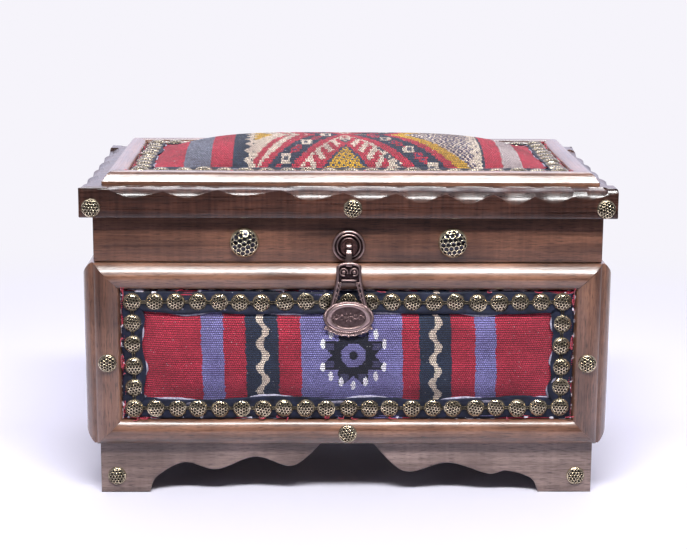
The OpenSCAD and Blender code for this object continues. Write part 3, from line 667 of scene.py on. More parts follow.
# ---------------------------------------------------------------- sawn feet
# Knots of the sawn edges: share of the bracket's length, share of the foot's height.
LEFT_EDGE = ((0.22, 0), (0.25, 0.30), (0.375, 0.59), (0.52, 0.45), (0.695, 0.70), (0.865, 0.52), (1, 1))
RIGHT_EDGE = ((0.24, 0), (0.275, 0.27), (0.385, 0.42), (0.47, 0.36), (0.655, 0.58), (0.85, 0.41), (1, 1))
SKIRT_EDGE = ((0.16, 0), (0.185, 0.30), (0.28, 0.56), (0.37, 0.45), (0.5, 0.70))


def sawn_curve(knots):
    """A smooth curve through the knots (Catmull-Rom), in twelve steps from each to the next."""
    k = np.array([knots[0], *knots, knots[-1]], float)
    t = np.linspace(0, 1, 12, endpoint=False)[:, None]
    parts = [0.5 * (2 * b + (c - a) * t + (2 * a - 5 * b + 4 * c - d) * t ** 2
                    + (3 * b - a - 3 * c + d) * t ** 3)
             for a, b, c, d in zip(k, k[1:], k[2:], k[3:])]
    return np.concatenate(parts + [k[-1:]])


def sawn_board(curve, length, height, thick, radius):
    """A bracket with a sawn lower edge: at each place along it a section with rounded corners, from the
    curve up to its top. Returns along, up and out, with out 0 at the outer face and below it inside."""
    along, lower = curve[:, 0] * length, np.minimum(curve[:, 1], 0.98) * height
    a = np.linspace(0, np.pi / 2, 4)
    sin, cos = radius * (1 - np.sin(a)), radius * (1 - np.cos(a))
    # the section runs down the outer face, round the two lower arrises, up the inner face and back
    out = np.concatenate([[0, 0, 0], -cos, cos[::-1] - thick, [-thick, -thick, -thick / 2]])
    share = np.concatenate([[1, 0.5, 0.15], np.zeros(8), [0.5, 1, 1]])
    lift = np.concatenate([[0, 0, 0], sin, sin[::-1], [0, 0, 0]])
    up = lower[:, None] + lift + (height - lower[:, None] - lift) * share
    end = np.clip(along[:, None] / radius, 0, 1)
    inset = radius * (1 - np.sqrt(1 - (1 - end) ** 2))
    out = np.clip(out, inset - thick, -inset)
    return np.broadcast_to(along[:, None], up.shape), np.minimum(up, height), out


def foot_curve(knots):
    """The bracket's outline along its length: its flat sole, then the sawn curve."""
    sole = [[share, 0.0] for share in (0, 0.001, 0.002, 0.004, 0.006, 0.02, 0.12)]
    return np.concatenate([sole, sawn_curve(knots)])


def make_foot(name, node, knots, turned, seed):
    """A front or back foot. Turned -1 mirrors it, so that its outer end is at the right."""
    radius = bpy.context.scene.chest_sizes.arris
    low, high = corners(node)
    length, thick, height = high - low
    along, up, out = sawn_board(foot_curve(knots), length, height, thick, radius)
    wander = 0.05 * MM
    out = out + sway(along, wander, seed)
    front = low[1] < 0
    x = low[0] + along if turned > 0 else high[0] - along
    y = low[1] - out if front else high[1] + out
    points = capped(np.stack([x, y, low[2] + up], -1))
    make_board(name, points, "carcass", "apron_x", node)


def make_skirt(name, node, outward):
    """A side skirt between two feet, sawn alike at both ends."""
    radius = bpy.context.scene.chest_sizes.arris
    low, high = corners(node)
    thick, length, height = high - low
    half = sawn_curve(SKIRT_EDGE)
    mirrored = (half * [-1, 1] + [1, 0])[::-1]
    curve = np.concatenate([[[0, 0], [0.08, 0]], half, mirrored[1:], [[0.92, 0], [1, 0]]])
    along, up, out = sawn_board(curve, length, height, thick, radius)
    out = np.clip(out, -thick, 0)
    x = high[0] + out if outward > 0 else low[0] - out
    points = capped(np.stack([x, low[1] + along, low[2] + up], -1))
    make_board(name, points, "carcass", "apron_y", node)


# ---------------------------------------------------------------- kilim patterns, in mm of flat cloth
def yarns():
    """The yarns' linear colours, by name."""
    colours = bpy.context.scene.chest_colours
    names = ("red", "blue", "navy", "cream", "yellow", "beige", "slate", "violet")
    return {name: np.array(linear(getattr(colours, name))[:3]) for name in names}


def stripes(x, edges, names, yarn):
    """Bands of one yarn between each two edges."""
    return np.array([yarn[name] for name in names])[np.searchsorted(edges, x)]


def zigzag(x, y, middle, swing, period, half):
    """A chunky line along y: a rounded triangle wave about its middle, thicker at its turns."""
    wave = np.sin(2 * np.pi * y / period)
    away = np.abs(x - middle - swing * np.sign(wave) * np.abs(wave) ** 0.7)
    return away < half * (0.75 + 0.35 * np.abs(wave))


def woven_star(x, y, side, colour, yarn):
    """An eight-pointed star of eight rhombi. In the octant where a is the larger and b the smaller of
    |x| and |y|, a rhombus is a - b < side and b < side / sqrt 2. It has a lighter eye in each rhombus,
    a ring at its middle and a pale stitch at each point. Shares are of the side."""
    a, b = np.maximum(np.abs(x), np.abs(y)), np.minimum(np.abs(x), np.abs(y))
    s, t = (a - b) / side, b / (side / math.sqrt(2))
    octagon = np.maximum(a, (a + b) / 1.41)
    inside = (s < 1) & (t < 1) & (a < 1.42 * side)
    eye = (np.abs(a / side - 1.10) < 0.19) & (np.abs(t - 0.60) < 0.26)
    ring = (octagon > 0.20 * side) & (octagon < 0.57 * side)
    colour[inside] = yarn["blue"] * 0.04 + yarn["navy"] * 0.12
    colour[inside & eye] = yarn["blue"] * 0.32
    colour[ring] = yarn["blue"] * 0.85
    # a stitch's place across and up in shares of the side, and half its length in mm
    half_width, bleached = 1.35, 1.45
    for u, v, half in ((1.45, 0.56, 3.1), (1.06, 1.02, 3.1), (0.58, 1.30, 2.9), (0.0, 1.50, 2.8)):
        off_x, off_y = np.abs(np.abs(x) - u * side), np.abs(np.abs(y) - v * side)
        colour[np.hypot(off_x / half_width, off_y / half) < 1] = bleached
    return colour


STAR_SIDE, ZIGZAG_PERIOD = 12.4, 14.6
FRONT_EDGES = (-86.9, -74.0, -61.2, -42.0, -28.9, 30.3, 40.2, 58.9, 72.9, 85.1)
FRONT_STRIPES = ("red", "blue", "red", "navy", "red", "blue", "red", "navy", "red", "blue", "red")


def front_pattern(x, y, yarn):
    """The front panel: stripes, two zigzags on the navy bands and a star in the middle band."""
    # from the lower edge to the upper one, 76 mm, the stripes drift 2 mm to the left and wave a little
    half_height, drift = 38, 2.0
    rise = np.clip((y + half_height) / (2 * half_height), 0, 1)
    bow = drift - drift * rise ** 2 + 0.25 * np.sin(0.31 * y + 0.05 * x)
    colour = stripes(x - bow, FRONT_EDGES, FRONT_STRIPES, yarn)
    for middle, start in ((-50.4, -3), (50.6, 2)):
        colour[zigzag(x - 0.3 * bow, y - start, middle, 1.8, ZIGZAG_PERIOD, 2.0)] = yarn["cream"] * 1.1
    return woven_star(x - 3.0, y - 0.9, STAR_SIDE, colour, yarn)


def side_pattern(x, y, yarn):
    """The end panels: the same stripes and star on a shorter piece of the same weave."""
    bow = 1.2 * np.sin(0.06 * y + 1.0)
    colour = stripes(x - bow, (-45, -33, -21, 22, 34, 46),
                     ("red", "navy", "red", "blue", "red", "navy", "red"), yarn)
    for middle in (-39, 40):
        colour[zigzag(x - bow, y, middle, 1.8, ZIGZAG_PERIOD, 1.7)] = yarn["cream"]
    return woven_star(x, y, STAR_SIDE, colour, yarn)


LID_EDGES = (-98.8, -82.9, -70.0, -58.0, 79.0, 80.5, 91.2, 102.9)
LID_STRIPES = ("red", "slate", "red", "navy", "cream", "navy", "red", "beige", "red")


def lid_pattern(x, y, yarn):
    """The lid: stripes at both ends, and nested diamonds between them. With d the distance in from the
    front or back edge and u the distance from the field's middle line, stretched 1.28 on its left,
    every band is a range of q = u + 0.74 d, so that the bands meet in an arch over the crown. The steps
    of the weave round u and d to whole knots."""
    knot = 1.3
    from_edge = np.minimum(y - y.min(), y.max() - y)
    d = np.round(from_edge / knot) * knot
    u = np.round((x + 2.4) / knot) * knot
    q = np.abs(u) * np.where(u < 0, 1.28, 1.0) + 0.74 * d
    p = np.abs(u) - 0.57 * d
    near = np.abs(u) + 0.57 * d
    colour = stripes(x, LID_EDGES, LID_STRIPES, yarn)
    field = (x > -58.0) & (x < 77.5)

    def paint(where, name, shade=1.0):
        colour[field & where] = yarn[name] * shade

    # the pale ground, the lines round the half diamond at each edge, and the slanted bars beyond them
    paint(q > 0, "cream")
    paint((near > 22) & (near < 25.5), "red")
    paint((near > 20) & (near < 22), "navy", 1.4)
    paint((near > 25.5) & (near < 37) & ((p + 0.22 * near) % 9.2 < 4.8) & (q < 44), "red")
    # small dark diamonds with pale hearts
    for dot_u, dot_d in ((0, 46), (33, 18), (31, 5), (9, 52), (22, 33), (26, 24)):
        dot = np.abs(np.abs(u) - dot_u) + np.abs(d - dot_d)
        paint((dot < 3.6) & (q < 46), "slate", 0.45)
        paint((dot < 1.4) & (q < 46), "cream")
    # the half diamond itself: yellow, speckled but for its middle, with an eye
    paint(near < 20, "yellow")
    paint((near < 20) & ((np.round(u / knot) + 2 * np.round(d / knot)) % 5 < 1) & (near > 9), "navy", 1.8)
    eye = np.hypot(u, (d - 10.0) * 0.8)
    paint(eye < 4.2, "slate", 0.5)
    paint(eye < 1.6, "navy", 0.6)
    # the arch: a navy band between two red lines, with two kinds of diamond in turn along it
    paint((q > 46) & (q <= 53), "red")
    band = (q > 53) & (q <= 71)
    paint(band, "navy")
    beat = np.abs((0.6 * d - np.abs(u) * 0.8 + np.where(u < 0, 4, 0)) % 22 - 11)
    middle = np.abs(q - 62)
    paint(band & (beat + middle * 0.8 < 5.4), "cream")
    paint(band & (beat + middle * 0.8 < 2.4), "slate", 0.5)
    paint(band & (np.abs(beat - 9) + middle < 4.4), "red")
    paint(band & (np.abs(beat - 9) + middle < 1.6), "violet")
    paint((q > 71) & (q <= 77), "red")
    # outside the arch: speckles and a yellow line on its right, pale with slanted bars on its left
    outer = q > 77
    spots = (np.round(u / knot) * 3 + np.round(d / knot) * 2) % 7
    paint(outer & (spots < 3), "violet")
    paint(outer & (spots > 5), "slate", 0.8)
    paint(outer & (u < 0), "cream")
    paint(outer & (u < 0) & ((u - 0.4 * d) % 9.0 < 4.2) & (q < 92), "red")
    paint(outer & (q <= 85) & (u > 0), "yellow")
    paint((q > 105) & (u < 0), "yellow")
    for middle_x in (-59.4, 75.6):
        colour[zigzag(x, y, middle_x, 1.5, 10.5, 2.1)] = yarn["cream"]
    return colour * 0.67                # painted shade: the lid's wool is darkened by a third, as the lid's top takes more light than the case's sides


# ---------------------------------------------------------------- padded kilims
def inflate(points, cap):
    """Cloth simulation of a sheet held at its rim and filled by air pressure for 20 frames, at ten
    times its size. No point moves more than the cap from where the sheet was laid."""
    enlarged, frames, pressure = 10, 20, 4.0
    rows, columns = points.shape[:2]
    quads = Shell().add(points).quads[0]
    mesh = bpy.data.meshes.new("cloth_sheet")
    mesh.from_pydata((points.reshape(-1, 3) * enlarged).tolist(), [], quads.tolist())
    sheet = bpy.data.objects.new("cloth_sheet", mesh)
    bpy.context.scene.collection.objects.link(sheet)
    rim = np.ones((rows, columns), bool)
    rim[1:-1, 1:-1] = False
    sheet.vertex_groups.new(name="rim").add(np.flatnonzero(rim.ravel()).tolist(), 1.0, "REPLACE")
    cloth = sheet.modifiers.new("cloth", "CLOTH")
    cloth.settings.vertex_group_mass = "rim"
    cloth.settings.use_pressure = True
    cloth.settings.uniform_pressure_force = pressure
    cloth.settings.mass = 0.1
    cloth.settings.effector_weights.gravity = 0.0
    cloth.point_cache.frame_start, cloth.point_cache.frame_end = 1, frames
    for number in range(1, frames + 1):
        bpy.context.scene.frame_set(number)
    ready = sheet.evaluated_get(bpy.context.evaluated_depsgraph_get()).to_mesh()
    moved = np.zeros(rows * columns * 3, np.float32)
    ready.vertices.foreach_get("co", moved)
    bpy.data.objects.remove(sheet)
    bpy.context.scene.frame_set(1)
    shift = moved.reshape(points.shape) / enlarged - points
    size = np.linalg.norm(shift, axis=-1, keepdims=True)
    return points + shift * np.minimum(1, cap / np.maximum(size, 1e-9))


def refine(points, rows, columns):
    """Resamples a grid of points smoothly, with Catmull-Rom weights along both directions."""
    def weights(coarse, fine):
        place = np.linspace(0, coarse - 1, fine)
        cell = np.clip(place.astype(int), 0, coarse - 2)
        t = place - cell
        parts = 0.5 * np.stack([-t + 2 * t ** 2 - t ** 3, 2 - 5 * t ** 2 + 3 * t ** 3,
                                t + 4 * t ** 2 - 3 * t ** 3, -t ** 2 + t ** 3])
        table = np.zeros((fine, coarse))
        for k in range(4):
            np.add.at(table, (np.arange(fine), np.clip(cell + k - 1, 0, coarse - 1)), parts[k])
        return table
    up, across = weights(points.shape[0], rows), weights(points.shape[1], columns)
    return np.einsum("ai,bj,ijk->abk", up, across, points)


def crowned_sheet(face, prefix, steep):
    """A kilim's sheet before its ribs, its height over the face where it is flat, and its size: flat on
    its nailed margin and crowned inside it, as (1 - |u|^steep)(1 - |v|^steep) of the swell, and filled
    by the cloth simulation."""
    thick, spacing = 0.55 * MM, 2.8 * MM
    flat = face.levels(prefix + "_batting")[1] + thick
    swell = face.levels(prefix + "_kilim")[1] - flat
    edge = face.rail + SOFT_GAP
    width, height = face.width - 2 * edge, face.height - 2 * edge
    x, y = np.meshgrid(*(np.linspace(0, size, int(size / spacing)) for size in (width, height)))
    u = np.clip(np.abs(x / width - 0.5) * 2 * width / (width - 2 * NAIL_MARGIN), 0, 1)
    v = np.clip(np.abs(y / height - 0.5) * 2 * height / (height - 2 * NAIL_MARGIN), 0, 1)
    crown = (1 - u ** steep[0]) * (1 - v ** steep[1])
    laid = face.place(edge + x, edge + y, flat + 0.9 * swell * crown)
    return inflate(laid, 0.08 * swell), flat, width, height


def make_kilim(prefix, face, body, pattern, seed, steep, coarse=1.0):
    """A padded kilim: its crowned sheet ribbed and coloured bead by bead, and closed underneath."""
    sizes = bpy.context.scene.chest_sizes
    weave_bead, weave_row = sizes.weave_bead * coarse, sizes.weave_row * coarse
    sheet, flat, width, height = crowned_sheet(face, prefix, steep)
    fine_x, fine_y = int(width / weave_bead * 2), int(height / weave_row * 3)
    sheet = refine(sheet, fine_y + 1, fine_x + 1)
    cloth_x, cloth_y = np.meshgrid(
        np.arange(fine_x + 1) * width / fine_x, np.arange(fine_y + 1) * height / fine_y)
    rib_height, hem = 0.3 * MM, 0.2 * MM
    rib = np.abs(np.sin(np.pi * cloth_y / weave_row))
    sheet = sheet + (rib_height * rib)[..., None] * face.out
    generator = np.random.default_rng(seed)
    cell_x = (cloth_x[:-1, :-1] + width / fine_x / 2 - width / 2) / MM
    cell_y = (cloth_y[:-1, :-1] + height / fine_y / 2 - height / 2) / MM
    row = np.floor((cell_y + height / 2 / MM) / (weave_row / MM)).astype(int)
    ragged = generator.normal(0, 0.15, row.max() + 1)[row] + generator.normal(0, 0.1, row.shape)
    colour = pattern(cell_x + ragged, cell_y, yarns())
    # the painted shade in the grooves between ribs and beads takes away a seventh of their colour, so the
    # yarns are that much paler
    paler, spread = 1.16, 0.24 * coarse ** 2
    tone = paler * generator.uniform(0.92, 1.1, row.max() + 1)[row]
    tone = tone * generator.uniform(1 - spread, 1 + spread, row.shape)
    colour = colour * tone[..., None]
    # a bead in 250 is felted and paler
    felted = generator.random(row.shape) > 0.996
    colour[felted] = colour[felted] * 0.4 + 0.4
    shell = Shell().add(sheet, uv=np.stack([cloth_x, cloth_y], -1) / MM / coarse, colours=colour)
    rim = np.concatenate([sheet[0, :-1], sheet[:-1, -1], sheet[-1, :0:-1], sheet[:0:-1, 0]])
    under = rim - (flat - hem) * face.out
    middle = np.broadcast_to(under.mean(0), under.shape)
    shell.add(np.stack([rim, under, middle]), wrap_columns=True, colours=yarns()["navy"])
    piece = make_piece(prefix + "_weave", shell, body, "kilim", (prefix + "_kilim",), "weave",
                       yarn=True)


# ---------------------------------------------------------------- nails, tape, threads
def honeycomb_head(diameter, height, rings, sides, cells, pit=0.0, scallop=0.0):
    """A domed nail head as rings of points: height h sqrt(1 - 0.97 r^2), with a turned-down rim. A pit
    sinks each honeycomb cell, and a scallop waves the rim. Its UV map runs from -0.5 to 0.5."""
    share = np.append(np.linspace(0, 1, rings - 1) ** 0.7, 1.0)[:, None]
    turn = np.linspace(0, 2 * np.pi, sides, endpoint=False)
    radius = share * diameter / 2 * (1 + scallop * np.cos(12 * turn) * (share > 0.8))
    x, y = radius * np.cos(turn), radius * np.sin(turn)
    z = height * np.sqrt(1 - 0.97 * share ** 2) + 0 * x
    u, v = x / diameter * cells, y / diameter * cells
    # distance to the nearer middle of a cell, of two interleaved lattices
    tall = math.sqrt(3)
    reach = [np.hypot(a - np.round(a), (b / tall - np.round(b / tall)) * tall)
             for a, b in ((u, v), (u + 0.5, v + tall / 2))]
    depth = np.clip((0.47 - np.minimum(*reach)) / 0.12, 0, 1)
    z = z - pit * depth * (share < 0.86)
    z[-1] = -0.05 * MM
    points = np.stack([x, y, z], -1)
    shell = Shell().add(points, wrap_columns=True)
    uv = points[..., :2].reshape(-1, 2) / diameter
    return points.reshape(-1, 3), uv, shell.quads[0]


def stamp(shell, face, x, y, z, head, turn, tilt):
    """Puts a copy of a head on a face, turned about its axis and tilted a little."""
    points, uv, quads = head
    c, s = math.cos(turn), math.sin(turn)
    px, py = points[:, 0] * c - points[:, 1] * s, points[:, 0] * s + points[:, 1] * c
    pz = points[:, 2] + px * tilt[0] + py * tilt[1]
    shell.add_quads(face.place(x + px, y + py, z + pz), quads, uv, np.ones((len(quads), 3)))


def strip_places(face, pitch, generator):
    """Where a strip's heads sit, evenly round a rectangle in the middle of the margin and a little off
    by hand, and which of them lie at its corners."""
    inset = face.rail + SOFT_GAP + NAIL_MARGIN / 2
    width, height = face.width - 2 * inset, face.height - 2 * inset
    across, up = round(width / pitch), round(height / pitch)
    total, off = 2 * (across + up), 0.3 * MM
    place, bends = np.arange(total), [0, across, across + up, 2 * across + up]
    x = inset + width * np.interp(place, [*bends, total], [0, 1, 1, 0, 0])
    y = inset + height * np.interp(place, [*bends, total], [0, 0, 1, 1, 0])
    return x + generator.normal(0, off, total), y + generator.normal(0, off, total), bends


def make_strip(prefix, face, body, seed):
    """A strip of stamped heads joined by pairs of short links, with a driven nail at every fifth head
    and every corner. A driven nail is a little wider and higher than a head."""
    sizes = bpy.context.scene.chest_sizes
    node = prefix + "_nail_strip"
    level, top = face.levels(node)
    generator = np.random.default_rng(seed)
    x, y, bends = strip_places(face, sizes.nail_pitch, generator)
    total = len(x)
    driven = (np.arange(total) + 2) % 5 == 0
    driven[bends] = True
    rise, rings, sides = (top - level) * 0.9, 4, 24
    stamped = honeycomb_head(sizes.nail_head * 0.98, rise * 0.85, rings, sides, sizes.cells_across,
                             scallop=0.02)
    nailed = honeycomb_head(sizes.nail_head, rise, rings, sides, sizes.cells_across)
    heads, links = Shell(), Shell()
    link_apart, link_height, link_radius = 0.6 * MM, 0.35 * MM, 0.4 * MM
    share = np.linspace(0.38, 0.62, 4)
    for k in range(total):
        head, lift = (nailed, 0.2 * MM) if driven[k] else (stamped, 0)
        stamp(heads, face, x[k], y[k], level + lift, head, generator.uniform(0, 6.28),
              generator.normal(0, 0.03, 2))
        ahead = (k + 1) % total
        dx, dy = x[ahead] - x[k], y[ahead] - y[k]
        length = math.hypot(dx, dy)
        for offset in (-link_apart, link_apart):
            path = face.place(x[k] + dx * share - dy / length * offset,
                              y[k] + dy * share + dx / length * offset, level + link_height)
            links.add(tube(path, link_radius, 6), wrap_columns=True)
    make_piece(prefix + "_heads", heads, body, "nail", (node,), "head", sharp=60)
    make_piece(prefix + "_heads_links", links, body, "link")


EDGE_STEPS = 110                       # points along each side of a panel's padding


def panel_loops(face, places):
    """Closed loops round a panel, one for each inset from the frame's edge and height over the face,
    joined into a ring-shaped body."""
    return Shell().add(np.stack([
        face.place(*rectangle_ring(face.width, face.height, inset, EDGE_STEPS), height)
        for inset, height in places]), wrap_rows=True, wrap_columns=True)


def make_tape(prefix, face, level, body, seed):
    """The dyed tape under a nail strip, whose inner edge lies up on the cloth, and the pale lining that
    peeps out from under it in places. Across the tape, f runs from its outer edge to its inner one."""
    along = np.arange(4 * EDGE_STEPS) / EDGE_STEPS
    # 1 away from the corners, and falling to 0 over an eighth of a side at each
    clear = np.clip(8 * np.minimum(along % 1, 1 - along % 1), 0, 1)
    rows = []
    for f in np.linspace(0, 1, 9):
        # the outer edge keeps off the frame here and there, and the width varies as laid by hand
        outer = face.rail + 0.35 * MM + np.maximum(sway(along * 1.3, 0.5 * MM, seed + 3), 0)
        inset = outer + f * (NAIL_MARGIN - 0.9 * MM + sway(along * 0.7, 0.7 * MM, seed))
        # the inner edge rises on the cloth and is drawn down at the corners, and the outer edge dips
        inner = 1.3 * f ** 5 * clear - 0.7 * f ** 6 * (1 - clear)
        lift = level - 0.1 * MM + (inner - 0.8 * (1 - f) ** 4) * MM
        rows.append((inset, lift + sway(along * 1.1 + f, 0.15 * MM, seed + 1)))
    # the underside, back from the inner edge to the outer one
    (outer, foot), (inset, lift) = rows[0], rows[-1]
    rows += [(inset + 0.25 * MM, lift - 0.35 * MM), (inset - 1.0 * MM, lift - 1.6 * MM),
             (outer + 1.0 * MM, foot - 1.2 * MM), (outer, foot - 0.5 * MM)]
    tape = make_piece(prefix + "_tape", panel_loops(face, rows), body, "tape")
    peep = np.clip(sway(along * 1.7, 1.0, seed + 9) + 0.1, 0, 1) * clear
    lining = make_piece(prefix + "_lining", panel_loops(face, [
        (inset - 3.0 * MM, lift - 1.3 * MM), (inset + (1.6 * peep - 0.5) * MM, lift - 0.55 * MM),
        (inset + (1.6 * peep - 0.3) * MM, lift - 0.85 * MM), (inset - 3.0 * MM, lift - 1.8 * MM)]),
        body, "lining")
    return tape, lining


def make_wadding(prefix, face, level, body, generator):
    """Wadding that shows between the tape and the frame: a roll with a rough oval section."""
    rough = generator.normal(0, 1, (2, 4 * EDGE_STEPS))
    wadding = make_piece(prefix + "_wadding", panel_loops(face, [
        (face.rail + 1.2 * MM + (1.0 * np.cos(turn) + 0.3 * rough[0]) * MM,
         level - 2.1 * MM + (0.9 * np.sin(turn) + 0.35 * rough[1]) * MM)
        for turn in np.linspace(0, 2 * np.pi, 10, endpoint=False)]),
        body, "batting", (prefix + "_batting",))


def make_threads(prefix, face, level, body, generator):
    """Loose ends of thread along the frame. Each is a thin tube that bends as it goes, rises in half a
    sine out of the padding and tapers to its free end, and reaches least across the margin."""
    threads, number, points = Shell(), 26, 10
    x, y = rectangle_ring(face.width, face.height, face.rail + 1.0 * MM, EDGE_STEPS)
    t = np.linspace(0, 1, points)
    for _ in range(number):
        start = generator.integers(0, 4 * EDGE_STEPS)
        heading, bend = generator.uniform(0, 2 * np.pi), generator.normal(0, 1.6)
        length = generator.uniform(3, 8) * MM
        flat = np.array([0.25, 1.0]) if (start // EDGE_STEPS) % 2 else np.array([1.0, 0.25])
        path = face.place(x[start] + flat[0] * length * t * np.cos(heading + bend * t),
                          y[start] + flat[1] * length * t * np.sin(heading + bend * t),
                          level - 0.6 * MM + 1.8 * MM * np.sin(np.pi * t * 0.8))
        threads.add(tube(path, np.linspace(0.38, 0.18, points) * MM, 6), wrap_columns=True)
    return make_piece(prefix + "_threads", threads, body, "thread")


def make_padding(prefix, face, body, seed):
    """Under a nail strip: the tape and its lining, wadding along the frame, and loose threads."""
    level = face.levels(prefix + "_nail_strip")[0]
    tape, lining = make_tape(prefix, face, level, body, seed)
    generator = np.random.default_rng(seed + 2)
    make_wadding(prefix, face, level, body, generator)
    threads = make_threads(prefix, face, level, body, generator)


def make_single_nails(name, node, body, finish, seed, swell=1.0):
    """Nails that stand alone: a pitted dome over each solid of the CAD node, the solids found by
    splitting the node's vertices where their places along the face jump. A head's foot is the level of
    its widest points, in front of the shank, and a swell makes it rounder than the CAD's."""
    gap = 6 * MM                       # a jump along the face that separates two nails
    cells = bpy.context.scene.chest_sizes.cells_across
    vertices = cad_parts[node].data.vertices
    points = np.zeros(3 * len(vertices))
    vertices.foreach_get("co", points)
    points = points.reshape(-1, 3)
    points = points[np.argsort(points[:, 0])]
    shell = Shell()
    generator = np.random.default_rng(seed)
    for solid in np.split(points, np.flatnonzero(np.diff(points[:, 0]) > gap) + 1):
        middle = (solid.max(0) + solid.min(0)) / 2
        widest = solid[np.abs(solid[:, 0] - middle[0]) > 0.45 * np.ptp(solid[:, 0])]
        foot = widest[:, 1].max()
        face = Face((middle[0], foot, middle[2]), X, Z, -Y, 0, 0, 0)
        rise = (foot - solid[:, 1].min()) * swell
        head = honeycomb_head(np.ptp(solid[:, 0]), rise, 34, 96, cells, pit=0.05 * rise + 0.2 * MM)
        stamp(shell, face, 0, 0, 0, head, generator.uniform(0, 6.28), (0, 0))
    make_piece(name, shell, body, finish, (node,), "head")


# ---------------------------------------------------------------- drop pull
def pull_face():
    """The drop pull's own sheet: its origin at the rosette's middle, on the front of the rim."""
    low, high = corners("pull_rosette")
    return Face(((low[0] + high[0]) / 2, high[1], (low[2] + high[2]) / 2), X, Z, -Y, 0, 0, 0)


def rub_uv(rub):
    """The "rub" UV map of a grid: how much each of its points was rubbed."""
    return np.stack(np.broadcast_arrays(rub, 0.0), -1)


def lathe(face, profile, sides, x=0.0, y=0.0):
    """A turned shape: a profile of (radius, height) carried round an axis out of the face."""
    profile = np.array(profile) * MM
    turn = np.linspace(0, 2 * np.pi, sides, endpoint=False)
    return face.place(x + profile[:, :1] * np.cos(turn), y + profile[:, :1] * np.sin(turn), profile[:, 1:])


def wire(shell, face, x, y, z, radius, sides=8):
    """A round wire whose path is in the face's mm, rubbed where it faces out."""
    path = face.place(x * MM, y * MM, z * MM)
    rings = tube(path, np.asarray(radius) * MM, sides)
    height = (rings - rings.mean(1, keepdims=True)) @ face.out
    rub = np.clip(0.3 + 0.6 * height / (np.max(radius) * MM), 0, 1)
    shell.add(rings, wrap_columns=True, uv=rub_uv(rub))


def bead(shell, face, x, y, z, radius):
    """A small ball, as a half circle turned round an axis out of the face."""
    a = np.linspace(0, np.pi, 9)
    profile = np.stack([radius * np.sin(a), z + radius * np.cos(a)], -1)
    rub = np.broadcast_to((0.5 + 0.5 * np.cos(a))[:, None], (9, 16))
    shell.add(lathe(face, profile, 16, x * MM, y * MM), wrap_columns=True, uv=rub_uv(rub))


def medallion_relief(x, y, half_x, half_y):
    """Height over the medallion's plate, in mm, by its share r of the oval: a milled rim, a broad
    smooth bezel with a thin inner lip, and a sunk field with an engraved spray: a six-petalled flower
    between two curling stems."""
    r, turn = np.hypot(x / half_x, y / half_y), np.arctan2(y / half_y, x / half_x)
    # a sum of bell curves over r, the milled one with 84 notches round the oval
    milled = 0.9 * np.exp(-((r - 0.95) / 0.045) ** 2) * (0.6 + 0.4 * np.cos(84 * turn))
    bezel = 0.95 * np.exp(-((r - 0.78) / 0.10) ** 4)
    height = 0.3 + milled + bezel + 0.35 * np.exp(-((r - 0.69) / 0.022) ** 2)
    field = np.clip((0.655 - r) / 0.03, 0, 1)
    flower_r, angle = np.hypot(x, y), np.arctan2(y, x)
    petals = np.exp(-((flower_r - 1.5 - 0.9 * np.cos(6 * angle)) / 0.34) ** 2)
    petals = petals + np.exp(-(flower_r / 0.5) ** 2)
    curl = np.sin(x * 1.05 + 0.6 * np.sign(x))
    stem = np.exp(-((y - 1.1 * curl) / 0.32) ** 2) * (np.abs(x) > 2.9)
    leaf = np.exp(-((y + 1.5 * curl) / 0.28) ** 2) * (np.sin(x * 6) > 0)
    spray = np.clip(petals + stem + leaf * (np.abs(x) > 3.2), 0, 1)
    return height * (1 - field) + field * (0.32 + 0.36 * spray)


def make_medallion(shell, face):
    """The oval medallion: its relief on a grid of rings, over a plain rounded back."""
    low, high = corners("pull_medallion")
    back, front = face.levels("pull_medallion")
    middle_x, half_x = ((low[0] + high[0]) / 2 - face.corner[0]) / MM, (high[0] - low[0]) / 2 / MM
    top = (high[2] - face.corner[2]) / MM
    half_y = half_x * 18.8 / 29.4       # the oval is 29.4 wide and 18.8 high
    middle_y = top - half_y
    share = np.concatenate([np.linspace(0, 1, 60), [1.0, 0.94, 0.0]])[:, None]
    turn = np.linspace(0, 2 * np.pi, 256, endpoint=False)
    x, y = share * half_x * np.cos(turn), share * half_y * np.sin(turn)
    plate = (front - back) / MM - 1.3
    z = plate + medallion_relief(x, y, half_x, half_y)
    z[-3], z[-2], z[-1] = plate * 0.3, 0, 0
    rub = np.clip((z - plate - 0.1) / 1.3, 0, 0.8) + 0.12 * (share < 0.65) + 0.2 * (share > 0.9)
    shell.add(face.place((middle_x + x) * MM, (middle_y + y) * MM, back + z * MM), wrap_columns=True,
              uv=rub_uv(rub))
    level = back / MM
    # the fringe under it: a wavy ribbon of scallops, then beads, larger at its ends and middle
    a = np.radians(np.linspace(-148, -32, 90))
    wave = 0.45 * np.abs(np.sin(6.5 * (a - a[0])))
    for grow, radius in ((0.3, 0.45), (1.25, 0.42)):
        wire(shell, face, middle_x + (half_x + grow + wave) * np.cos(a),
             middle_y + (half_y + grow + wave) * np.sin(a), level + 1.0, radius)
    for k, angle in enumerate(np.radians(np.linspace(-143, -37, 9))):
        size = 0.85 if k % 4 == 0 else 0.55
        bead(shell, face, middle_x + (half_x + 2.0) * math.cos(angle),
             middle_y + (half_y + 1.9) * math.sin(angle), level + 1.1, size)


# The pendant's plate, in mm from the rosette's middle: its top, its bottom and half its width.
PLATE_TOP, PLATE_BOTTOM, PLATE_HALF = -9.2, -20.4, 6.2


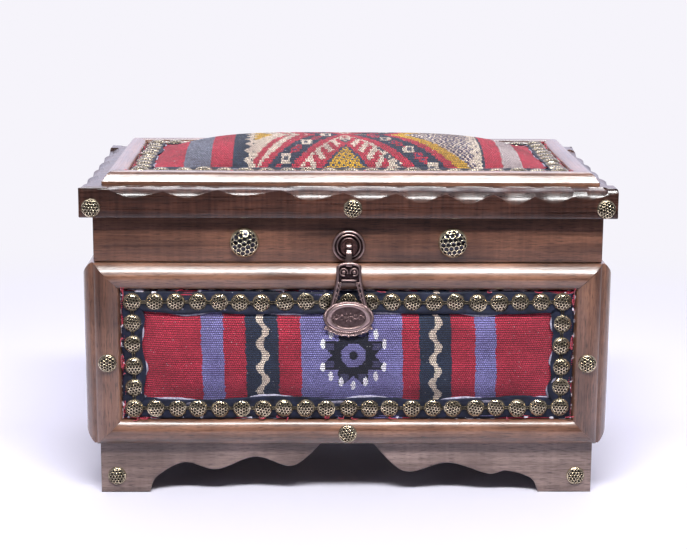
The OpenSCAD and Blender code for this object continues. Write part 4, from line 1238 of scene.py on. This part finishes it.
def make_tongue(shell, face, pin_out, plate_z):
    """The pendant's tongue: a round-edged strap, bent over the pin and down to the plate."""
    a = np.linspace(np.pi, -0.15, 14)
    path_y = np.concatenate([2.0 * np.sin(a), np.linspace(-2.4, -10.5, 10)])
    path_z = np.concatenate([pin_out - 2.0 * np.cos(a), np.linspace(pin_out + 2.4, plate_z + 1.6, 10)])
    ahead = np.stack([np.gradient(path_y), np.gradient(path_z)], -1)
    ahead /= np.linalg.norm(ahead, axis=1, keepdims=True)
    turn = np.linspace(0, 2 * np.pi, 20, endpoint=False)
    across = 1.75 * np.sign(np.cos(turn)) * np.abs(np.cos(turn)) ** 0.5
    deep = 0.62 * np.sign(np.sin(turn)) * np.abs(np.sin(turn)) ** 0.7
    y = path_y[:, None] - ahead[:, 1:] * deep
    z = path_z[:, None] + ahead[:, :1] * deep
    strap = capped(face.place(np.broadcast_to(across, y.shape) * MM, y * MM, z * MM))
    shell.add(strap, wrap_columns=True, uv=rub_uv(np.full(strap.shape[:2], 0.85)))


def make_plate(shell, face, plate_z):
    """The pendant's plate: a block with rounded corners and a bevelled front, behind the scrolls."""
    top, bottom, half, bend = PLATE_TOP, PLATE_BOTTOM, PLATE_HALF, 1.8
    corner = np.array([[-half, bottom], [half, bottom], [half, top], [-half, top]])
    arc = np.linspace(0, np.pi / 2, 6)
    outline = np.concatenate([corner[k] * [1 - bend / half, 1] + [0, bend if k < 2 else -bend]
                              + bend * np.stack([np.cos(arc + start), np.sin(arc + start)], -1)
                              for k, start in enumerate((np.pi, -np.pi / 2, 0, np.pi / 2))])
    centre = outline.mean(0)
    # the outline's scale, its height and how much it is rubbed, from the back to the front
    levels = ((0.0, 0.0, 0.1), (1.0, 0.0, 0.1), (1.0, 0.9, 0.3), (0.9, 1.1, 0.15), (0.0, 1.1, 0.1))
    block = np.stack([face.place(*((centre + (outline - centre) * scale).T * MM), (plate_z + z) * MM)
                      for scale, z, _ in levels])
    rub = np.repeat([[item[2]] for item in levels], len(outline), 1)
    shell.add(block, wrap_columns=True, uv=rub_uv(rub))


def make_arms(shell, face, plate_z, arms_end):
    """The wires over the plate: one that borders it and runs down both arms, and for each arm its inner
    edge, slanted ribs and a scroll, an almost closed ring round a bead."""
    arm, reach = np.linspace(0, 1, 24), 10.3
    border = PLATE_HALF + 0.3
    arm_x = border + (reach - border) * arm ** 1.35
    arm_y = PLATE_BOTTOM + 4 + (arms_end - PLATE_BOTTOM - 4) * arm
    left = np.stack([-arm_x[::-1], arm_y[::-1]], -1)
    over = np.linspace(-np.pi / 2, np.pi / 2, 30)
    over = np.stack([border * np.sin(over), PLATE_TOP - 3.4 + 3.8 * np.cos(over) ** 0.6], -1)
    line = np.concatenate([left, over, left[::-1] * [-1, 1]])
    wire(shell, face, line[:, 0], line[:, 1], plate_z + 1.25, 0.85, 12)
    # the inner edges, and the scrolls, which tighten a little as they turn
    inner_x = 4.6 + (reach - 1.2 - 4.6) * arm ** 1.2
    inner_y = PLATE_BOTTOM + 0.5 + (arms_end - PLATE_BOTTOM - 0.5) * arm
    turn = np.radians(np.linspace(200, -110, 40))
    swirl = 2.35 - 0.012 * np.arange(40)
    for sign in (-1, 1):
        wire(shell, face, sign * inner_x, inner_y, plate_z + 0.9, 0.55)
        # ribs that slant up from the inner edge to the border, thickest in their middle
        for k in (2, 6, 11, 15):
            wire(shell, face, sign * np.linspace(inner_x[k] - 0.9, arm_x[k + 2], 5),
                 np.linspace(inner_y[k] - 0.6, inner_y[k] + 1.6, 5), plate_z + 1.25,
                 (0.35, 0.6, 0.65, 0.6, 0.4))
        wire(shell, face, sign * (3.05 + swirl * np.cos(turn)), -13.9 + swirl * np.sin(turn),
             plate_z + 1.55, 0.5)
        bead(shell, face, sign * 3.05, -13.7, plate_z + 1.6, 1.15)
    # a bar across the plate's foot
    wire(shell, face, np.linspace(-4.4, 4.4, 12), -18.6, plate_z + 1.45, 0.5)


def make_pendant(shell, face):
    """The pendant: a tongue from the pin's eye, a plate with two scrolls, and two ribbed arms that
    spread to the medallion's shoulders."""
    pin_out = sum(face.levels("pull_pin")) / 2 / MM
    plate_z = face.levels("pull_medallion")[0] / MM
    arms_end = (corners("pull_medallion")[1][2] - face.corner[2]) / MM - 3.6
    make_tongue(shell, face, pin_out, plate_z)
    make_plate(shell, face, plate_z)
    make_arms(shell, face, plate_z, arms_end)


# Radius and height of the rosette's turned profile, in mm, and how much each place is rubbed.
ROSETTE = ((0, 0.1, 0), (9.2, 0.1, 0), (9.5, 0.7, 0.3), (9.45, 1.8, 0.6), (9.0, 2.5, 0.8), (8.4, 2.6, 0.7),
           (7.9, 2.1, 0.4), (7.7, 1.5, 0.1), (7.4, 1.45, 0.1), (7.15, 2.0, 0.5), (6.8, 2.35, 0.8),
           (6.4, 2.3, 0.7), (6.1, 1.8, 0.3), (5.8, 1.0, 0), (4.9, 1.0, 0.1), (4.7, 1.9, 0.5),
           (2.6, 2.0, 0.4), (0, 2.0, 0.4))


def make_rosette(shell, face):
    """The rosette: a turned boss with two raised rings and a seat for the post."""
    profile, sides = np.array(ROSETTE), 96
    turned = lathe(face, profile[:, :2], sides)
    shell.add(turned, wrap_columns=True, uv=rub_uv(np.repeat(profile[:, 2:], sides, 1)))


# ---------------------------------------------------------------- operators
def finished(*names):
    """Ends an operator, and raises an error if one of its pieces isn't there."""
    missing = [name for name in names if name not in bpy.data.objects]
    if missing:
        raise RuntimeError("not made: " + ", ".join(missing))
    return {"FINISHED"}


class CHEST_OT_stage(bpy.types.Operator):
    """Finishes, floor, pale surroundings, lamps and camera"""
    bl_idname, bl_label = "chest.stage", "Stage"

    def execute(self, context):
        make_finishes()
        make_stage()
        return finished("floor", "key", "camera")


class CHEST_OT_case(bpy.types.Operator):
    """The case's boards, with softened edges on the one that shows"""
    bl_idname, bl_label = "chest.case", "Case boards"

    def execute(self, context):
        arris = context.scene.chest_sizes.arris
        make_board("back_panel", rounded_board("back_board", arris, 0, 3), "carcass",
                   "case_x", "back_board")
        for node, finish in (("front_board", "bare_x"), ("left_board", "bare_y"), ("right_board", "bare_y"),
                             ("bottom_board", "bare_x"), ("corner_blocks", "bare_z")):
            dress_node(node, finish)
        return finished("back_panel")


class CHEST_OT_feet(bpy.types.Operator):
    """The sawn feet and the side skirts between them"""
    bl_idname, bl_label = "chest.feet", "Feet"

    def execute(self, context):
        make_foot("front_left_foot", "foot_front_left", LEFT_EDGE, 1, 21)
        make_foot("front_right_foot", "foot_front_right", RIGHT_EDGE, -1, 22)
        make_foot("back_left_foot", "foot_back_left", RIGHT_EDGE, 1, 23)
        make_foot("back_right_foot", "foot_back_right", LEFT_EDGE, -1, 24)
        make_skirt("left_skirt", "skirt_left", -1)
        make_skirt("right_skirt", "skirt_right", 1)
        return finished("front_left_foot", "back_right_foot", "left_skirt", "right_skirt")


class CHEST_OT_frames(bpy.types.Operator):
    """The mitred frames on three sides of the case and on the lid"""
    bl_idname, bl_label = "chest.frames", "Mitred frames"

    def execute(self, context):
        for prefix, face, grain, seed in (("front", FRONT, "x", 100), ("left", LEFT, "y", 110),
                                          ("right", RIGHT, "y", 120)):
            nodes = [f"{prefix}_frame_{side}" for side in ("bottom", "top", "left", "right")]
            make_frame(prefix, face, "carcass", nodes, grain, "z", CASE_LEAN, seed)
        nodes = [f"lid_moulding_{side}" for side in ("front", "back", "left", "right")]
        make_frame("lid", LID, "lid", nodes, "x", "y", LID_LEAN, 140)
        return finished("front_top_rail", "left_top_rail", "right_top_rail", "lid_top_rail")


class CHEST_OT_panels(bpy.types.Operator):
    """The padded kilims on the case and on the lid"""
    bl_idname, bl_label = "chest.panels", "Padded kilims"

    def execute(self, context):
        make_kilim("front", FRONT, "carcass", front_pattern, 5, (9.0, 3.6))
        make_kilim("left", LEFT, "carcass", side_pattern, 6, (5.0, 3.6))
        make_kilim("right", RIGHT, "carcass", side_pattern, 7, (5.0, 3.6))
        make_kilim("lid", LID, "lid", lid_pattern, 8, (4.2, 2.6), 1.25)
        return finished("front_weave", "left_weave", "right_weave", "lid_weave")


class CHEST_OT_nail_strips(bpy.types.Operator):
    """The strips of stamped heads, with the tape, wadding and threads under them"""
    bl_idname, bl_label = "chest.nail_strips", "Nail strips"

    def execute(self, context):
        for prefix, face, body, seed in (("front", FRONT, "carcass", 31), ("left", LEFT, "carcass", 32),
                                         ("right", RIGHT, "carcass", 33), ("lid", LID, "lid", 34)):
            make_strip(prefix, face, body, seed)
            make_padding(prefix, face, body, seed + 30)
        return finished("front_heads", "left_heads", "right_heads", "lid_heads")


class CHEST_OT_nails(bpy.types.Operator):
    """The nails that stand alone, and the two domes on the lid's rim"""
    bl_idname, bl_label = "chest.nails", "Single nails"

    def execute(self, context):
        make_single_nails("frame_heads", "frame_nails", "carcass", "nail", 71)
        make_single_nails("foot_heads", "foot_nails", "carcass", "nail", 72)
        make_single_nails("lid_edge_heads", "lid_edge_nails", "lid", "nail", 73)
        make_single_nails("rim_domes", "rim_dome_nails", "lid", "dome", 74, 1.3)
        return finished("frame_heads", "foot_heads", "lid_edge_heads", "rim_domes")


class CHEST_OT_lid(bpy.types.Operator):
    """The lid's gouged slab and the boards of its rim"""
    bl_idname, bl_label = "chest.lid", "Lid"

    def execute(self, context):
        sizes = context.scene.chest_sizes
        low, high = corners("lid_top")
        slab = gouged_slab(low, high, sizes.gouge_depth, sizes.gouge_reach, sizes.arris)
        make_board("gouged_slab", slab, "lid", "slab_x", "lid_top", sharp=38)
        for side, axis, seed in (("front", 0, 41), ("back", 0, 42), ("left", 1, 43), ("right", 1, 44)):
            node = "lid_rim_" + side
            make_board(side + "_rim", rounded_board(node, sizes.arris, axis, seed), "lid",
                       "case_" + "xy"[axis], node)
        return finished("gouged_slab", "front_rim", "back_rim", "left_rim", "right_rim")


class CHEST_OT_hinges(bpy.types.Operator):
    """The finish of the two butt hinges and their screws"""
    bl_idname, bl_label = "chest.hinges", "Hinges"

    def execute(self, context):
        for node in ("hinge_lower_leaves", "hinge_upper_leaves", "hinge_pins",
                     "hinge_lower_screws", "hinge_upper_screws"):
            dress_node(node, "steel")
        return finished()


class CHEST_OT_pull(bpy.types.Operator):
    """The drop pull: turned rosette, post and pin, pendant and medallion"""
    bl_idname, bl_label = "chest.pull", "Drop pull"

    def execute(self, context):
        face = pull_face()
        for name, make, body, finish in (("rosette", make_rosette, "lid", "copper"),
                                         ("pendant", make_pendant, "pull", "copper_dark"),
                                         ("medallion", make_medallion, "pull", "copper")):
            shell = Shell()
            make(shell, face)
            make_piece(name, shell, body, finish, ("pull_" + name,), "rub")
        for node in ("pull_post", "pull_washer", "pull_pin"):
            dress_node(node, "copper_plain")
        return finished("rosette", "pendant", "medallion")


# ---------------------------------------------------------------- stage
FLOOR_TINT = "#f6f4fb"


def area_lamp(name, place, target, size, power, tint="#ffffff"):
    """A rectangular lamp at a place, turned towards a target."""
    lamp = bpy.data.lights.new(name, "AREA")
    lamp.shape, lamp.size, lamp.size_y = "RECTANGLE", size[0], size[1]
    lamp.energy, lamp.color = power, linear(tint)[:3]
    thing = bpy.data.objects.new(name, lamp)
    thing.location = place
    thing.rotation_euler = (Vector(target) - Vector(place)).to_track_quat("-Z", "Y").to_euler()
    bpy.context.scene.collection.objects.link(thing)


def floor_finish():
    """Matt paper floor, seamless: near the chest it takes light and shadow, and further out the camera
    sees its plain pale tint. In reflections the paper narrows to its end half a metre in front
    of the chest, and to bounced light it is grey, so that the shadows under the lid stay deep."""
    material = bpy.data.materials.new("seamless_paper_floor")
    tree = empty_tree(material)
    place = add(tree, "TexCoord").outputs["Object"]
    reach = add(tree, "VectorMath", {0: place}, operation="LENGTH").outputs["Value"]
    fade = add(tree, "MapRange", {
        "Value": reach, "From Min": 0.28, "From Max": 0.75}, interpolation_type="SMOOTHSTEP")
    seen = add(tree, "LightPath").outputs
    direct = add(tree, "Math", {0: seen["Is Camera Ray"], 1: seen["Is Glossy Ray"]}, operation="MAXIMUM")
    share = add(tree, "Math", {0: fade, 1: direct}, operation="MULTIPLY")
    where = add(tree, "SeparateXYZ", {0: place}).outputs
    aside = add(tree, "Math", {0: where["X"]}, operation="ABSOLUTE")
    ahead = add(tree, "Math", {0: where["Y"], 1: aside}, operation="SUBTRACT")
    mirrored = add(tree, "MapRange", {
        "Value": ahead, "From Min": -0.62, "From Max": -0.44}, interpolation_type="SMOOTHSTEP")
    strength = add(tree, "Math", {0: seen["Is Camera Ray"], 1: mirrored}, operation="MAXIMUM")
    far = add(tree, "Emission", {"Color": linear(FLOOR_TINT), "Strength": strength})
    tint = add(tree, "Mix", {
        0: direct, 6: linear("#a09ea9"), 7: linear("#d0cedb")}, data_type="RGBA").outputs[2]
    paper = add(tree, "BsdfPrincipled", {"Base Color": tint, "Roughness": 0.8})
    mixed = add(tree, "MixShader", {0: share, 1: paper, 2: far})
    add(tree, "OutputMaterial", {"Surface": mixed})
    return material


def make_floor():
    """A square of floor, 30 m wide, which isn't part of the chest."""
    side = 15.0
    mesh = bpy.data.meshes.new("floor")
    square = [(-side, -side, 0), (side, -side, 0), (side, side, 0), (-side, side, 0)]
    mesh.from_pydata(square, [], [(0, 1, 2, 3)])
    mesh.materials.append(floor_finish())
    floor = bpy.data.objects.new("floor", mesh)
    bpy.context.scene.collection.objects.link(floor)


def make_room():
    """The room: dark on the side the camera looks from and bright behind the chest, and to the camera
    itself the floor's plain tint."""
    world = bpy.data.worlds.new("pale_room")
    tree = empty_tree(world)
    seen = add(tree, "LightPath").outputs["Is Camera Ray"]
    ahead = add(tree, "SeparateXYZ", {0: add(tree, "TexCoord").outputs["Generated"]}).outputs["Y"]
    glow = add(tree, "MapRange", {
        "Value": ahead, "From Min": -0.30, "From Max": 0.70, "To Min": 0.04, "To Max": 1.35})
    lit = add(tree, "Background", {"Color": linear("#dfddf4"), "Strength": glow})
    shown = add(tree, "Background", {"Color": linear(FLOOR_TINT), "Strength": 1.0})
    mixed = add(tree, "MixShader", {0: seen, 1: lit, 2: shown})
    add(tree, "OutputWorld", {"Surface": mixed})
    bpy.context.scene.world = world


def make_camera():
    """The camera in front of the chest, a little left of its middle, and looking down on it. Its place
    is in metres before it turns round the chest, its lens in mm and its turns in degrees."""
    place, lens, sensor = (-0.000988, -1.0709, 0.34436), 90.88, 36.0
    pitch, roll, yaw = np.radians((12.056, 0.393, 1.329)).tolist()
    camera = bpy.data.cameras.new("camera")
    camera.sensor_fit, camera.sensor_width, camera.lens = "HORIZONTAL", sensor, lens
    camera.clip_start = 0.05
    turned = Matrix.Rotation(-yaw, 4, "Z")
    eye = turned @ Vector(place) + Vector((0, 0.00185, 0))
    aim = turned @ Matrix.Rotation(math.pi / 2 - pitch, 4, "X") @ Matrix.Rotation(roll, 4, "Z")
    thing = bpy.data.objects.new("camera", camera)
    thing.matrix_world = Matrix.Translation(eye) @ aim
    bpy.context.scene.collection.objects.link(thing)
    bpy.context.scene.camera = thing


def make_stage():
    """Floor, room, camera and lamps: a long key over the front, two weak fills, and a strip behind that
    shows in the gouges. A lamp has its place and its target, its size in metres and its watts."""
    bpy.context.scene.view_settings.view_transform = "Standard"
    make_floor()
    make_room()
    area_lamp("key", (0.03, -0.95, 1.42), (0.03, 0, 0.1), (1.3, 0.28), 47.0)
    area_lamp("fill_left", (-1.5, -1.2, 0.8), (0, 0, 0.1), (0.8, 0.8), 2.2, "#e9e9ff")
    area_lamp("fill_right", (1.5, -1.2, 0.8), (0, 0, 0.1), (0.8, 0.8), 0.7)
    area_lamp("rear", (0.1, 1.35, 1.5), (0, 0, 0.15), (1.5, 0.4), 11.0)
    make_camera()


# ---------------------------------------------------------------- panel, registration, run
OPERATORS = (CHEST_OT_stage, CHEST_OT_case, CHEST_OT_feet, CHEST_OT_frames, CHEST_OT_panels,
             CHEST_OT_nail_strips, CHEST_OT_nails, CHEST_OT_lid, CHEST_OT_hinges, CHEST_OT_pull)


class CHEST_PT_panel(bpy.types.Panel):
    """Lists the chest's operators, sizes and colours"""
    bl_idname, bl_label = "CHEST_PT_panel", "Kilim chest"
    bl_space_type, bl_region_type, bl_category = "VIEW_3D", "UI", "Chest"

    def draw(self, context):
        for operator in OPERATORS:
            self.layout.operator(operator.bl_idname)
        for group in (context.scene.chest_sizes, context.scene.chest_colours):
            for name in group.__annotations__:
                self.layout.prop(group, name)


CLASSES = (ChestSizes, ChestColours, *OPERATORS, CHEST_PT_panel)


def register():
    """Makes the classes known to Blender and gives each scene its sizes and colours."""
    for item in CLASSES:
        bpy.utils.register_class(item)
    bpy.types.Scene.chest_sizes = PointerProperty(type=ChestSizes)
    bpy.types.Scene.chest_colours = PointerProperty(type=ChestColours)


def unregister():
    """Takes back what register() did, in the opposite order."""
    del bpy.types.Scene.chest_colours
    del bpy.types.Scene.chest_sizes
    for item in reversed(CLASSES):
        bpy.utils.unregister_class(item)


def main():
    """Builds the chest and its stage."""
    register()
    chest = bpy.ops.chest
    chest.stage()
    chest.case()
    chest.feet()
    chest.frames()
    chest.panels()
    chest.nail_strips()
    chest.nails()
    chest.lid()
    chest.hinges()
    chest.pull()


if __name__ == "__main__":
    main()
